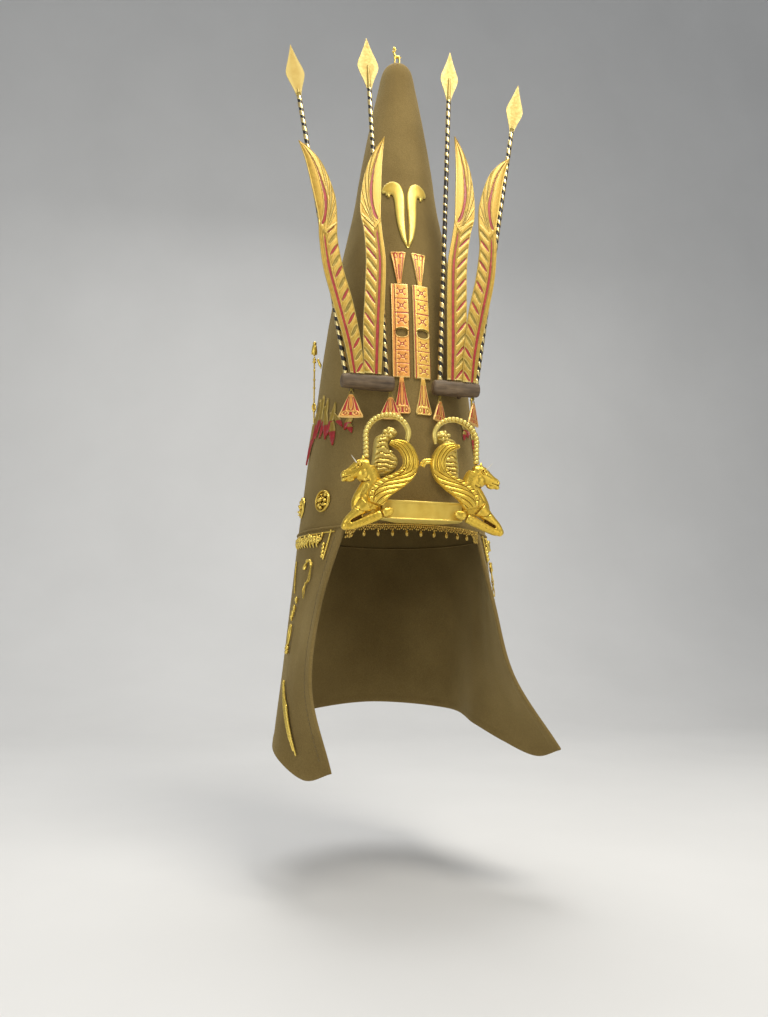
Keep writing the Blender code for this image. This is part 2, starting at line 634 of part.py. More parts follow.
def boss(number, turn, gold):
    """A round domed boss that lies on the crown."""
    centre = crown_point(turn, BOSS_LEVEL, GAP)
    normal = unit(crown_point(turn, BOSS_LEVEL, 0.01) - centre)
    level = unit(np.cross((0.0, 0.0, 1.0), normal))
    upright = np.cross(normal, level)
    turns = np.arange(12) * math.pi / 6
    profile = ((1.0, 0.0), (1.0, 0.30), (0.70, 0.36), (0.55, 0.66), (0.20, 1.0))
    rings = [[centre + normal * BOSS_HEIGHT * rise
              + (level * math.cos(t) + upright * math.sin(t)) * BOSS_WIDTH / 2 * wide for t in turns]
             for wide, rise in profile]
    return loft(f"boss_{number}", rings, gold)


def peaks(word, side, gold):
    """Mountain leaves in a zigzag round the side of the crown."""
    stations = [((side * math.radians(turn), PEAKS_LEVEL + low * PEAKS_HEIGHT),
                 (side * math.radians(turn), PEAKS_LEVEL + high * PEAKS_HEIGHT)) for turn, low, high in PEAKS]
    return drape("peaks_" + word, stations, PEAKS_THICK, gold, steps=1)


def tree(word, side, gold):
    """A thin upright tree that leaves the crown as it rises, with a bird on top."""
    turn = side * math.radians(86)
    foot = crown_point(turn, TREE_LOW, GAP + TREE_WIDTH * 0.35)
    shares = np.array([0.0, 0.10, 0.12, 0.20, 0.22, 0.60, 0.70, 0.72, 0.78, 0.90, 0.97, 1.0])
    widths = np.array([0.7, 0.7, 1.5, 1.5, 0.6, 0.6, 0.8, 1.6, 1.2, 1.9, 1.5, 0.5]) * TREE_WIDTH / 2
    step = np.array([side * 0.02, 0.0, 1.0]) * TREE_HEIGHT
    path = [foot + step * share for share in shares]
    return rod("tree_" + word, path, widths, widths, gold, sides=6)


def brow_trim(gold, drops=14):
    """A narrow band under the emblem with a row of small drops."""
    ends = np.radians([SKIRT_STATIONS[0][0] + 2, SKIRT_STATIONS[-1][0] + 360 - 2])
    stations = []
    for k in range(2 * drops + 1):
        turn = ends[0] + (ends[1] - ends[0]) * k / (2 * drops)
        low = TRIM_LEVEL - (TRIM_DROP if k % 2 else 0.0)
        stations.append(((turn, low), (turn, TRIM_LEVEL + TRIM_HEIGHT)))
    return drape("brow_trim", stations, TRIM_THICK, gold, steps=1)


def flap_place(side, around):
    """Station number on the left flap, or on the right one counted from its own edge."""
    return around if side < 0 else len(SKIRT_STATIONS) - 1 - around


def flap_ornaments(word, side, gold):
    """Zigzag trim, hook, beaded ring and comb on one cheek flap."""
    stations = []
    for k in range(15):
        around = flap_place(side, 0.35 + 0.15 * k)
        low = 0.085 if k % 2 else 0.045
        stations.append(((around, low + (0.09 if k == 1 else 0.0)), (around, 0.02)))
    drape("flap_trim_" + word, stations, TRIM_THICK, gold, ground=skirt_facet, gap=SKIRT_GAP)

    def cord(label, rows, widths):
        path = [skirt_facet(flap_place(side, around), down, SKIRT_GAP + max(widths)) for around, down in rows]
        return rod(f"{label}_{word}", path, widths, widths, gold, sides=6)

    hook_rows = smooth(((1.00, 0.175), (1.05, 0.135), (1.22, 0.125), (1.30, 0.155), (1.20, 0.205),
                        (1.14, 0.245), (1.12, 0.290)), 12)
    cord("hook", hook_rows, np.full(12, HOOK_WIDTH / 2))
    beads = np.array([0.5, 0.9, 0.5, 0.9, 0.5, 0.9, 0.5, 1.0, 1.0, 1.0, 1.0, 0.5, 0.9, 0.9, 0.4])
    ring_rows = smooth(((1.95, 0.300), (2.02, 0.400), (2.05, 0.560)), len(beads))
    cord("ring", ring_rows, beads * RING_WIDTH / 2)
    comb = []
    for share in np.linspace(0, 1, 9):
        around, down = 1.80 - 0.60 * share, 0.68 + 0.22 * share
        half = 0.5 * COMB_WIDTH / 0.030 * (1.0 - 0.7 * share)
        comb.append(((flap_place(side, around - half), down), (flap_place(side, around + half), down)))
    drape("comb_" + word, comb, COMB_THICK, gold, ground=skirt_facet, gap=SKIRT_GAP)


def finial(gold):
    """The little ram that stands on the peak with its legs apart."""
    low = CROWN_HEIGHT + GAP
    half = FINIAL_WIDTH / 2

    def place(across, up):
        return np.array([across * half, 0.0, low + up * FINIAL_HEIGHT])

    turns = np.arange(12) * math.pi / 6
    disc = [[(half * 0.8 * math.cos(t), half * 0.8 * math.sin(t), z) for t in turns]
            for z in (low, place(0, 0.08)[2])]
    base = loft("finial", disc, gold)
    parts = []
    for label, from_across, from_up, to_across, to_up, thick in RAM:
        ends = [place(from_across, from_up), place(to_across, to_up)]
        parts.append(rod(label + "_guide", ends, thick * half, thick * half, gold, sides=8))
    return fuse(base, *parts)


def build():
    clear_scene()
    felt = finish("felt", (0.20, 0.155, 0.075), 0.95, 0.0)
    gold = finish("gold", (0.83, 0.60, 0.17), 0.28, 1.0)
    polished = finish("polished_gold", (0.88, 0.66, 0.20), 0.15, 1.0)
    enamel = finish("enamelled_gold", (0.66, 0.16, 0.06), 0.35, 0.6)
    wood = finish("wood", (0.17, 0.11, 0.07), 0.75, 0.0)
    wound = finish("wound_shaft", (0.35, 0.28, 0.12), 0.5, 0.4)
    bone = finish("bone", (0.80, 0.76, 0.66), 0.45, 0.0)

    crown(felt)
    skirt(felt)
    emblem_plate(gold)
    brow_trim(gold)
    finial(gold)
    for word, side in SIDES:
        horse(word, side, gold)
        wing(word, side, gold)
        mane(word, side, gold)
        horn(word, side, gold)
        ear(word, side, bone)
        bar(word, side, wood)
        strip(word, side, enamel)
        tusk(word, side, polished)
        peaks(word, side, gold)
        tree(word, side, gold)
        flap_ornaments(word, side, gold)
    for number, row in enumerate(FEATHER_PLACES, 1):
        feather(number, *row, gold)
    for number, row in enumerate(ARROWS, 1):
        arrow(number, *row, wound, gold)
    for number, row in enumerate(PENDANTS, 1):
        pendant(number, *row, enamel)
    for number, degrees in enumerate((-86, -57.5, 57.5, 86), 1):
        boss(number, math.radians(degrees), gold)


build()
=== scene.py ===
"""Looks of a tall pointed felt hat with sheet-gold ornaments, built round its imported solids.

Metres, +Z up, the hat faces -Y. Left is -X, as seen by someone who faces the hat.
"""
import math

import bmesh
import bpy
import numpy as np
from mathutils import Matrix, geometry, noise


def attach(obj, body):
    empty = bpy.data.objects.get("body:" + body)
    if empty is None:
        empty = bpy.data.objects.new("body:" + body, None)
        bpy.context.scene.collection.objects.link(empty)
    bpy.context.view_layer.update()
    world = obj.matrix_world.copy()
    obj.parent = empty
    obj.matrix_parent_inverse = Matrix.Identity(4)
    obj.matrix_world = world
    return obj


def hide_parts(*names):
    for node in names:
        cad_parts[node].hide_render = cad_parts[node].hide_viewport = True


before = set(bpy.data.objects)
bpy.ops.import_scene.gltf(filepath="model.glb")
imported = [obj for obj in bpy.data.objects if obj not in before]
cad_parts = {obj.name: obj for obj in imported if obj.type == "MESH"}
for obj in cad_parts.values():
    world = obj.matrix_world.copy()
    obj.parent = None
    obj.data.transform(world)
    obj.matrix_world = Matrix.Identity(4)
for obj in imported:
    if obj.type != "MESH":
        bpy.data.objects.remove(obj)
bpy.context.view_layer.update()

MM = 0.001
GAP = 0.0003
SKIRT_GAP = 0.0006
FELT = 0.0024
BROW_WIDTH = 0.176
BROW_DEPTH = 0.190
CROWN_HEIGHT = 0.500
ROUND_HEIGHT = 0.450
SKIRT_DROP = 0.206
EMBLEM_FRONT = 0.118
HORSE_MIDDLE = 0.113
HORSE_WIDTH = 0.066
PLATE_LOW = 0.0012
PLATE_HIGH = 0.0170
PLATE_WIDTH = 0.066
BAR_HEIGHT = 0.0146
BAR_DEPTH = 0.0130
BAR_MIDDLE = 0.1238
ARROW_LENGTH = 0.338
ARROW_WIDTH = 0.0046
ARROW_LEAN_BACK = 0.085
ARROW_BEHIND = 0.0022
HEAD_LENGTH = 0.058
HEAD_WIDTH = 0.0195
FEATHER_LENGTH = 0.232
FEATHER_WIDTH = 0.0200
FEATHER_THICK = 0.0012
FEATHER_LEAN_BACK = 0.080
FEATHER_FORWARD = 0.0029
PENDANT_HEIGHT = 0.0250
PENDANT_WIDTH = 0.0210
STRIP_LOW = 0.133
STRIP_LENGTH = 0.093
STRIP_WIDTH = 0.0150
STRIP_MIDDLE = 0.0095
STRIP_THICK = 0.0015
FAN_HEIGHT = 0.0340
FOOT_HEIGHT = 0.0340
HOLE_DROP = 0.0032
TUSK_HEIGHT = 0.0752
TUSK_LOW = 0.266
TUSK_WIDTH = 0.0092
TUSK_THICK = 0.0014
BOSS_WIDTH = 0.0200
BOSS_HEIGHT = 0.0045
BOSS_LEVEL = 0.0245
PEAKS_LEVEL = 0.096
PEAKS_HEIGHT = 0.031
TREE_LOW = 0.106
TREE_HEIGHT = 0.082
TREE_WIDTH = 0.0026
FINIAL_HEIGHT = 0.0225
FINIAL_WIDTH = 0.0090
CAST_VOXEL = 0.00052
BROW_ROUNDING = 0.0011
FELT_WAVE = 0.00045
TURNED_EDGE = 0.0072
SIDES = (("left", -1), ("right", 1))

# Crown outline: height share, half-width share
CROWN_OUTLINE = (
    (0.000, 1.000), (0.120, 0.934), (0.240, 0.851), (0.380, 0.766), (0.520, 0.640), (0.660, 0.485),
    (0.730, 0.430), (0.800, 0.368), (0.860, 0.310), (0.900, 0.269), (0.940, 0.225), (0.970, 0.192),
    (0.986, 0.158), (0.996, 0.100), (1.000, 0.020),
)
# Skirt stations: turn at the brow, then across, along and down shares at three levels
SKIRT_STATIONS = (
    (-40, -0.875, -0.82, 0.32, -0.955, -0.915, 0.645, -0.740, -0.885, 0.966),
    (-57, -0.965, -0.57, 0.33, -1.085, -0.640, 0.670, -0.965, -0.715, 1.000),
    (-75, -1.035, -0.29, 0.30, -1.125, -0.360, 0.605, -1.195, -0.465, 0.930),
    (-95, -1.050, 0.09, 0.29, -1.110, 0.060, 0.580, -1.190, -0.040, 0.880),
    (-130, -0.805, 0.67, 0.27, -0.870, 0.700, 0.545, -0.970, 0.740, 0.820),
    (-180, 0.000, 1.05, 0.26, 0.000, 1.105, 0.520, 0.000, 1.200, 0.780),
    (-230, 0.795, 0.67, 0.27, 0.830, 0.710, 0.535, 0.885, 0.755, 0.795),
    (-265, 1.000, 0.08, 0.28, 0.980, 0.060, 0.565, 0.955, 0.020, 0.835),
    (-285, 0.990, -0.29, 0.29, 1.015, -0.325, 0.585, 1.125, -0.315, 0.885),
    (-302, 0.930, -0.57, 0.30, 1.025, -0.630, 0.600, 1.350, -0.630, 0.927),
    (-315, 0.850, -0.82, 0.30, 1.010, -0.895, 0.590, 1.475, -0.895, 0.885),
)
# Feather sections: height share, spine offset as share of length, width share
FEATHERS = {
    "outer": (
        (0.00, 0.000, 0.60), (0.13, 0.024, 0.75), (0.30, 0.069, 0.92), (0.44, 0.103, 0.90),
        (0.57, 0.119, 0.83), (0.66, 0.123, 0.86), (0.77, 0.144, 0.99), (0.90, 0.171, 0.78),
        (0.965, 0.190, 0.42), (1.00, 0.202, 0.03),
    ),
    "inner": (
        (0.00, 0.000, 0.76), (0.16, -0.002, 0.90), (0.31, -0.004, 0.92), (0.46, -0.002, 0.91),
        (0.58, 0.016, 0.85), (0.65, 0.024, 0.95), (0.74, 0.026, 0.93), (0.84, 0.027, 0.75),
        (0.925, 0.025, 0.45), (1.00, 0.020, 0.03),
    ),
}
# Bars: inner end and length
BARS = {"left": (0.0170, 0.0478), "right": (0.0161, 0.0435)}
BAR = (
    (0.000, 0.60, 0.62), (0.035, 0.90, 0.92), (0.150, 1.00, 1.00), (0.500, 0.95, 1.00),
    (0.850, 0.92, 1.00), (0.965, 0.84, 0.92), (1.000, 0.56, 0.65),
)
# Feathers: bar, kind, place along the bar, extra lean, length share, height share of the tie
FEATHER_PLACES = (
    ("left", "outer", 0.833, 0.010, 0.952, 0.616), ("left", "inner", 0.264, -0.036, 1.024, 0.620),
    ("right", "inner", 0.299, 0.036, 1.073, 0.619), ("right", "outer", 0.885, -0.022, 1.008, 0.650),
)
# Arrows: bar, place along the bar, lean, length share, head width share, open socket or midrib
ARROWS = (
    ("left", 0.889, 0.170, 0.992, 0.90, False), ("left", 0.149, 0.052, 1.042, 1.05, True),
    ("right", 0.184, 0.052, 1.042, 0.90, True), ("right", 0.949, 0.170, 0.981, 0.88, False),
)
# Pendants: bar, place along the bar, size share, turn in degrees
PENDANTS = (
    ("left", 0.797, 1.00, 12), ("left", 0.078, 0.95, 12), ("right", 0.166, 0.92, 40),
    ("right", 0.864, 0.97, 48),
)
# Wing sections in shares of the horse's width: outer edge, inner edge
WING = (
    (0.421, 0.974, 0.447, 0.927), (0.323, 0.986, 0.385, 0.894), (0.212, 0.962, 0.321, 0.847),
    (0.121, 0.864, 0.270, 0.750), (0.074, 0.700, 0.282, 0.662), (0.129, 0.530, 0.368, 0.583),
    (0.242, 0.417, 0.505, 0.514), (0.348, 0.341, 0.626, 0.433), (0.439, 0.265, 0.698, 0.332),
    (0.508, 0.159, 0.690, 0.205),
)
# Mane outline and the horn's line, in shares of the horse's width
MANE = (
    (0.568, 0.636), (0.568, 0.788), (0.553, 0.909), (0.545, 1.030), (0.523, 1.120), (0.447, 1.167),
    (0.417, 1.220), (0.356, 1.258), (0.280, 1.235), (0.245, 1.174), (0.303, 1.120), (0.364, 1.053),
    (0.341, 0.947), (0.250, 0.864), (0.250, 0.750), (0.379, 0.636),
)
HORN = (
    (0.704, 0.766), (0.708, 0.955), (0.709, 1.092), (0.658, 1.210), (0.568, 1.293), (0.439, 1.335),
    (0.316, 1.317), (0.220, 1.250), (0.165, 1.135), (0.180, 1.000),
)


# Curves and surfaces that repeat the solids'
def between(a, b, c, d, t):
    """The smooth cubic from b to c, with a before and d after them."""
    return 0.5 * (2 * b + (c - a) * t + (2 * a - 5 * b + 4 * c - d) * t * t
                  + (3 * b - a - 3 * c + d) * t ** 3)


def spline(rows, places):
    """Values of a smooth curve through the rows at places counted in rows."""
    rows = np.asarray(rows, float)
    ends = np.concatenate([2 * rows[:1] - rows[1:2], rows, 2 * rows[-1:] - rows[-2:-1]])
    places = np.atleast_1d(np.asarray(places, float))
    k = np.clip(np.floor(places).astype(int), 0, len(rows) - 2)
    t = (places - k).reshape((-1,) + (1,) * (rows.ndim - 1))
    return between(ends[k], ends[k + 1], ends[k + 2], ends[k + 3], t)


def smooth(rows, count):
    """Points spread evenly along a smooth curve through the rows."""
    dense = spline(rows, np.linspace(0, len(rows) - 1, 16 * len(rows)))
    run = np.r_[0, np.cumsum(np.linalg.norm(np.diff(dense, axis=0), axis=1))]
    even = np.linspace(0, run[-1], count)
    return np.stack([np.interp(even, run, dense[:, k]) for k in range(dense.shape[1])], 1)


def columns_at(rows, share):
    """Each column of a table, read at shares of the table's length."""
    at = share * (len(rows) - 1)
    return [np.interp(at, np.arange(len(rows)), column) for column in np.asarray(rows).T]


def quarter_round(share):
    """Height of a rounded edge: nothing at the edge, one from the end of the rounding on."""
    return np.sqrt(np.clip(1 - (1 - np.clip(share, 0, 1)) ** 2, 0, 1))


def half_round(place):
    """Height of a half-round bar that reaches from -1 to 1."""
    return np.sqrt(np.clip(1 - place ** 2, 0, 1))


def circle(count):
    """Even angles once round."""
    return np.arange(count) * 2 * math.pi / count


def mm(*values):
    """Millimetres as metres."""
    return np.array(values) * MM


def unit(vectors):
    vectors = np.asarray(vectors, float)
    return vectors / np.maximum(np.linalg.norm(vectors, axis=-1, keepdims=True), 1e-12)


CROWN_CURVE = smooth(CROWN_OUTLINE, 240)


def crown_half(z):
    """Half-width and half-depth of the crown's outside at a height."""
    z = np.asarray(z, float)
    width = np.interp(z / CROWN_HEIGHT, CROWN_CURVE[:, 0], CROWN_CURVE[:, 1]) * BROW_WIDTH / 2
    to_round = np.clip(z / ROUND_HEIGHT, 0, 1)
    return width, width * (1 + (BROW_DEPTH / BROW_WIDTH - 1) * (1 - to_round))


def crown_point(turn, z, lift=0.0):
    """Points at an angle from the front, raised off the crown's outside."""
    turn, z, lift = np.broadcast_arrays(np.asarray(turn, float), z, lift)
    wide, deep = crown_half(z)
    step = 0.002
    slope = (crown_half(z + step)[0] - crown_half(z - step)[0]) / (2 * step)
    flat = unit(np.stack([np.sin(turn) / wide, -np.cos(turn) / deep, 0 * turn], -1))
    flat[..., 2] = -slope
    place = np.stack([wide * np.sin(turn), -deep * np.cos(turn), z], -1)
    return place + unit(flat) * lift[..., None]


def crown_front(x, z):
    """How far the crown's front lies before the origin at a place across and up."""
    wide, deep = crown_half(z)
    return deep * half_round(np.asarray(x) / wide)


def facing(x, z):
    """Angle from the front of the crown point that lies at x."""
    return np.arcsin(np.clip(np.asarray(x) / crown_half(z)[0], -1, 1))


SKIRT_TURNS = np.array([row[:1] for row in SKIRT_STATIONS], float)
SKIRT_SIZE = np.array([BROW_WIDTH / 2, BROW_DEPTH / 2, -SKIRT_DROP])
SKIRT_LEVELS = np.array([[(0, 0, 0), row[1:4], row[4:7], row[7:10]] for row in SKIRT_STATIONS],
                        float) * SKIRT_SIZE
SKIRT_LAST = len(SKIRT_STATIONS) - 1


def skirt_place(around, down):
    """Points of the skirt's outside: around in stations, down as a share of its fall."""
    around, down = np.broadcast_arrays(np.asarray(around, float), np.asarray(down, float))
    shape = around.shape
    around, down = around.ravel(), down.ravel() * 3
    levels = spline(SKIRT_LEVELS, around)
    turn = np.radians(spline(SKIRT_TURNS, around)[:, 0])
    levels[:, 0] = np.stack([np.sin(turn) * SKIRT_SIZE[0], -np.cos(turn) * SKIRT_SIZE[1], 0 * turn - GAP], 1)
    ends = np.concatenate([2 * levels[:, :1] - levels[:, 1:2], levels,
                           2 * levels[:, -1:] - levels[:, -2:-1]], 1)
    k = np.clip(np.floor(down).astype(int), 0, 2)
    t = (down - k)[:, None]
    row = np.arange(len(k))
    out = between(ends[row, k], ends[row, k + 1], ends[row, k + 2], ends[row, k + 3], t)
    return out.reshape(shape + (3,))


def skirt_normal(around, down):
    """The way that the skirt's outside faces."""
    step = 0.02
    sideways = (skirt_place(np.minimum(around + step, SKIRT_LAST), down)
                - skirt_place(np.maximum(around - step, 0), down))
    downward = (skirt_place(around, np.minimum(down + step, 1))
                - skirt_place(around, np.maximum(down - step, 0)))
    return unit(np.cross(sideways, downward))


def skirt_point(around, down, lift=0.0):
    """Points raised off the skirt's outside."""
    around, down, lift = np.broadcast_arrays(np.asarray(around, float), down, lift)
    return skirt_place(around, down) + skirt_normal(around, down) * lift[..., None]


def bar_seat(word):
    """How far before the origin a bar's middle line lies."""
    return float(crown_front(BARS[word][0], BAR_MIDDLE - BAR_HEIGHT / 2)) + GAP + BAR_DEPTH / 2


def along_bar(word, share):
    """How far from the middle a place along a bar lies."""
    inner, length = BARS[word]
    return inner + length * share


def bar_top(share, forward):
    """Height of the bar's rounded top at a place along it and before its middle line."""
    rows = np.array(BAR)
    half = np.interp(share, rows[:, 0], rows[:, 1]) * BAR_HEIGHT / 2
    deep = np.interp(share, rows[:, 0], rows[:, 2]) * BAR_DEPTH / 2
    return BAR_MIDDLE + half * math.sqrt(max(1 - (forward / deep) ** 2, 0.0))


# Shapes as arrays of points and faces
class Heap:
    """Points, faces and surface marks of one piece, gathered from many small forms."""

    def __init__(self):
        self.points, self.faces, self.red, self.count = [], [], [], 0

    def add(self, points, faces, red=0.0):
        points = np.asarray(points, float).reshape(-1, 3)
        self.points.append(points)
        self.faces.extend(tuple(k + self.count for k in face) for face in faces)
        self.red.append(np.broadcast_to(red, len(points)).astype(float))
        self.count += len(points)
        return self


def band_faces(rows, columns, wrap=False):
    """Quads between rows of equally many points."""
    last = columns if wrap else columns - 1
    return [(r * columns + c, r * columns + (c + 1) % columns, (r + 1) * columns + (c + 1) % columns,
             (r + 1) * columns + c)
            for r in range(rows - 1) for c in range(last)]


def closed(rings):
    """A closed form through rings of equally many points."""
    rings = np.asarray(rings, float)
    rows, columns = rings.shape[:2]
    faces = band_faces(rows, columns, wrap=True)
    faces.append(tuple(range(columns))[::-1])
    faces.append(tuple((rows - 1) * columns + k for k in range(columns)))
    return rings.reshape(-1, 3), faces


def frames(path):
    """Steady side and out directions along a path."""
    path = np.asarray(path, float)
    along = unit(np.gradient(path, axis=0))
    side = np.zeros_like(along)
    first = np.array([0.0, -1.0, 0.0]) if abs(along[0][1]) < 0.9 else np.array([1.0, 0.0, 0.0])
    side[0] = unit(np.cross(along[0], first))
    for k in range(1, len(path)):
        side[k] = unit(side[k - 1] - along[k] * np.dot(side[k - 1], along[k]))
    return along, side, np.cross(side, along)


def tube(path, radii, sides=10, flat=1.0, ends=True):
    """A round or flattened rod along a path; flat is its depth as a share of its width."""
    path = np.asarray(path, float)
    radii = np.broadcast_to(radii, len(path))
    _, side, out = frames(path)
    turns = circle(sides)
    rings = (path[:, None] + side[:, None] * (np.cos(turns)[None, :, None] * radii[:, None, None])
             + out[:, None] * (np.sin(turns)[None, :, None] * radii[:, None, None] * flat))
    if ends:
        tips = [path[:1] + (path[0] - path[1]) * 1e-3, path[-1:] + (path[-1] - path[-2]) * 1e-3]
        first = tips[0][None] + (rings[:1] - path[0]) * 0.3
        last = tips[1][None] + (rings[-1:] - path[-1]) * 0.3
        rings = np.concatenate([first, rings, last])
    return closed(rings)


def ball(centre, radii, lean=0.0, rows=7, columns=12):
    """An egg-shaped bead; lean turns it in the frontal plane."""
    radii = np.broadcast_to(radii, 3).astype(float)
    up = np.linspace(0.02, math.pi - 0.02, rows)
    turns = circle(columns)
    x = np.sin(up)[:, None] * np.cos(turns) * radii[0]
    y = np.sin(up)[:, None] * np.sin(turns) * radii[1]
    z = np.cos(up)[:, None] * np.ones(columns) * radii[2]
    rings = np.stack([x * math.cos(lean) - z * math.sin(lean), y, x * math.sin(lean) + z * math.cos(lean)],
                     -1)
    return closed(rings + np.asarray(centre, float))


def inside(points, loop):
    """Which flat points lie inside a loop."""
    x, y = points[:, 0:1], points[:, 1:2]
    a, b = loop, np.roll(loop, -1, axis=0)
    crosses = (a[:, 1] > y) != (b[:, 1] > y)
    at = a[:, 0] + (y - a[:, 1]) / np.where(b[:, 1] == a[:, 1], 1e-12,
                                            b[:, 1] - a[:, 1]) * (b[:, 0] - a[:, 0])
    return (crosses & (x < at)).sum(1) % 2 == 1


def edge_distance(points, loops):
    """Distance of flat points from the nearest loop."""
    best = np.full(len(points), 1e9)
    for loop in loops:
        a, b = loop, np.roll(loop, -1, axis=0)
        run = b - a
        t = ((points[:, None] - a) * run).sum(-1) / np.maximum((run ** 2).sum(-1), 1e-18)
        near = a + run * np.clip(t, 0, 1)[..., None]
        best = np.minimum(best, np.linalg.norm(points[:, None] - near, axis=-1).min(1))
    return best


def filled(outline, holes, cell):
    """Triangles that fill an outline, fine enough for relief."""
    loops = [np.asarray(loop, float) for loop in (outline, *holes)]
    low, high = loops[0].min(0), loops[0].max(0)
    grid = np.stack(np.meshgrid(np.arange(low[0], high[0], cell), np.arange(low[1], high[1], cell)), -1)
    grid[1::2, :, 0] += cell / 2
    grid = grid.reshape(-1, 2)
    keep = inside(grid, loops[0])
    for hole in loops[1:]:
        keep &= ~inside(grid, hole)
    grid = grid[keep]
    grid = grid[edge_distance(grid, loops) > cell * 0.45]
    points, edges = [], []
    for loop in loops:
        start = len(points)
        points += [tuple(p) for p in loop]
        edges += [(start + k, start + (k + 1) % len(loop)) for k in range(len(loop))]
    points += [tuple(p) for p in grid]
    out = geometry.delaunay_2d_cdt(points, edges, [], 0, 1e-9)
    flat = np.array([tuple(p) for p in out[0]])
    tris = np.array(out[2])
    middles = flat[tris].mean(1)
    keep = inside(middles, loops[0])
    for hole in loops[1:]:
        keep &= ~inside(middles, hole)
    return flat, tris[keep], loops


def cut_plate(outline, place, height, thick, cell, holes=(), round_edge=0.0004, red=None):
    """A plate cut to an outline, with relief on its face; place sets points from across, up and lift."""
    flat, tris, loops = filled(outline, holes, cell)
    rim = edge_distance(flat, loops)
    fall = round_edge * (1 - quarter_round(rim / round_edge))
    lift = thick + height(flat[:, 0], flat[:, 1], rim) - fall
    top = place(flat[:, 0], flat[:, 1], lift)
    low = place(flat[:, 0], flat[:, 1], 0 * lift)
    count = len(flat)
    faces = [tuple(t) for t in tris] + [tuple(t[::-1] + count) for t in tris]
    sides = {}
    for t in tris:
        for a, b in ((t[0], t[1]), (t[1], t[2]), (t[2], t[0])):
            sides[(a, b)] = sides.get((a, b), 0) + 1
    for a, b in sides:
        if (b, a) not in sides:
            faces.append((b, a, a + count, b + count))
    marks = np.zeros(count) if red is None else red(flat[:, 0], flat[:, 1], rim)
    return np.concatenate([top, low]), faces, np.r_[marks, marks * 0]


def slab(place, height, thick, across, along, red=None, round_edge=0.12):
    """A strip of sheet with relief on its face; place sets points from two shares and lift."""
    u, s = np.meshgrid(np.linspace(0, 1, across), np.linspace(0, 1, along))
    under, run = np.meshgrid(np.linspace(1, 0, 7), np.linspace(0, 1, along))
    fall = (1 - quarter_round(np.minimum(u, 1 - u) / round_edge)) * thick * 0.6
    top = place(u, s, thick / 2 + height(u, s) - fall)
    low = place(under, run, 0 * under - thick / 2)
    marks = np.zeros(u.shape) if red is None else red(u, s)
    points, faces = closed(np.concatenate([top, low], 1))
    return points, faces, np.concatenate([marks, 0 * under], 1).ravel()


def bump_line(value, middle, half):
    """One over a line and nothing away from it."""
    return np.exp(-((value - middle) / half) ** 2)


def step(value, low, high):
    t = np.clip((value - low) / (high - low), 0, 1)
    return t * t * (3 - 2 * t)


# Turning shapes into pieces
def hollows(data):
    """How each point lies: 0 on a crest, a half on plain ground, 1 in a hollow."""
    count = len(data.vertices)
    points = np.empty(count * 3)
    data.vertices.foreach_get("co", points)
    points = points.reshape(-1, 3)
    normals = np.empty(count * 3)
    data.vertices.foreach_get("normal", normals)
    normals = normals.reshape(-1, 3)
    ends = np.empty(len(data.edges) * 2, int)
    data.edges.foreach_get("vertices", ends)
    a, b = ends.reshape(-1, 2).T
    total, near, run = np.zeros((count, 3)), np.zeros(count), np.zeros(count)
    length = np.linalg.norm(points[a] - points[b], axis=1)
    for k, n in ((a, b), (b, a)):
        np.add.at(total, k, points[n])
        np.add.at(near, k, 1)
        np.add.at(run, k, length)
    near = np.maximum(near, 1)
    sunk = ((total / near[:, None] - points) * normals).sum(1) / np.maximum(run / near, 1e-9)
    for _ in range(2):
        around = np.zeros(count)
        np.add.at(around, a, sunk[b])
        np.add.at(around, b, sunk[a])
        sunk = 0.5 * sunk + 0.5 * around / near
    return np.clip(0.5 + sunk * 2.5, 0, 1)


def outward_mesh(name, heap):
    """A mesh of a heap's forms with every face turned outward."""
    data = bpy.data.meshes.new(name)
    data.from_pydata(np.concatenate(heap.points).tolist(), [], heap.faces)
    mesh = bmesh.new()
    mesh.from_mesh(data)
    bmesh.ops.recalc_face_normals(mesh, faces=mesh.faces)
    mesh.to_mesh(data)
    mesh.free()
    return data


def piece(name, heap, surface, stands_for=(), sharp=42):
    """A shown piece from a heap of forms, riding on the hat."""
    data = outward_mesh(name, heap)
    data.shade_smooth()
    data.set_sharp_from_angle(angle=math.radians(sharp))
    made = bpy.data.objects.new(name, data)
    bpy.context.collection.objects.link(made)
    data.attributes.new("red", "FLOAT", "POINT").data.foreach_set("value", np.concatenate(heap.red))
    data.attributes.new("hollow", "FLOAT", "POINT").data.foreach_set("value", hollows(data))
    data.materials.append(surface)
    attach(made, "root")
    if stands_for:
        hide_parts(*stands_for)
    return made


def cast(name, heap, surface, stands_for, relax, carve, extra):
    """A piece whose forms melt into one body, then are carved."""
    holder = bpy.data.objects.new(name + "_rough", outward_mesh(name + "_rough", heap))
    bpy.context.collection.objects.link(holder)
    melt = holder.modifiers.new("melt", "REMESH")
    melt.mode, melt.voxel_size = "VOXEL", CAST_VOXEL
    ease = holder.modifiers.new("ease", "SMOOTH")
    ease.factor, ease.iterations = 0.5, relax
    bpy.context.view_layer.update()
    done = bpy.data.meshes.new_from_object(holder.evaluated_get(bpy.context.evaluated_depsgraph_get()))
    points = np.array([v.co for v in done.vertices], float)
    normals = np.array([v.normal for v in done.vertices], float)
    points = points + normals * carve(points, normals)[:, None]
    whole = Heap().add(points, [tuple(p.vertices) for p in done.polygons])
    whole.add(np.concatenate(extra.points), extra.faces, np.concatenate(extra.red))
    bpy.data.objects.remove(holder, do_unlink=True)
    return piece(name, whole, surface, stands_for, sharp=70)


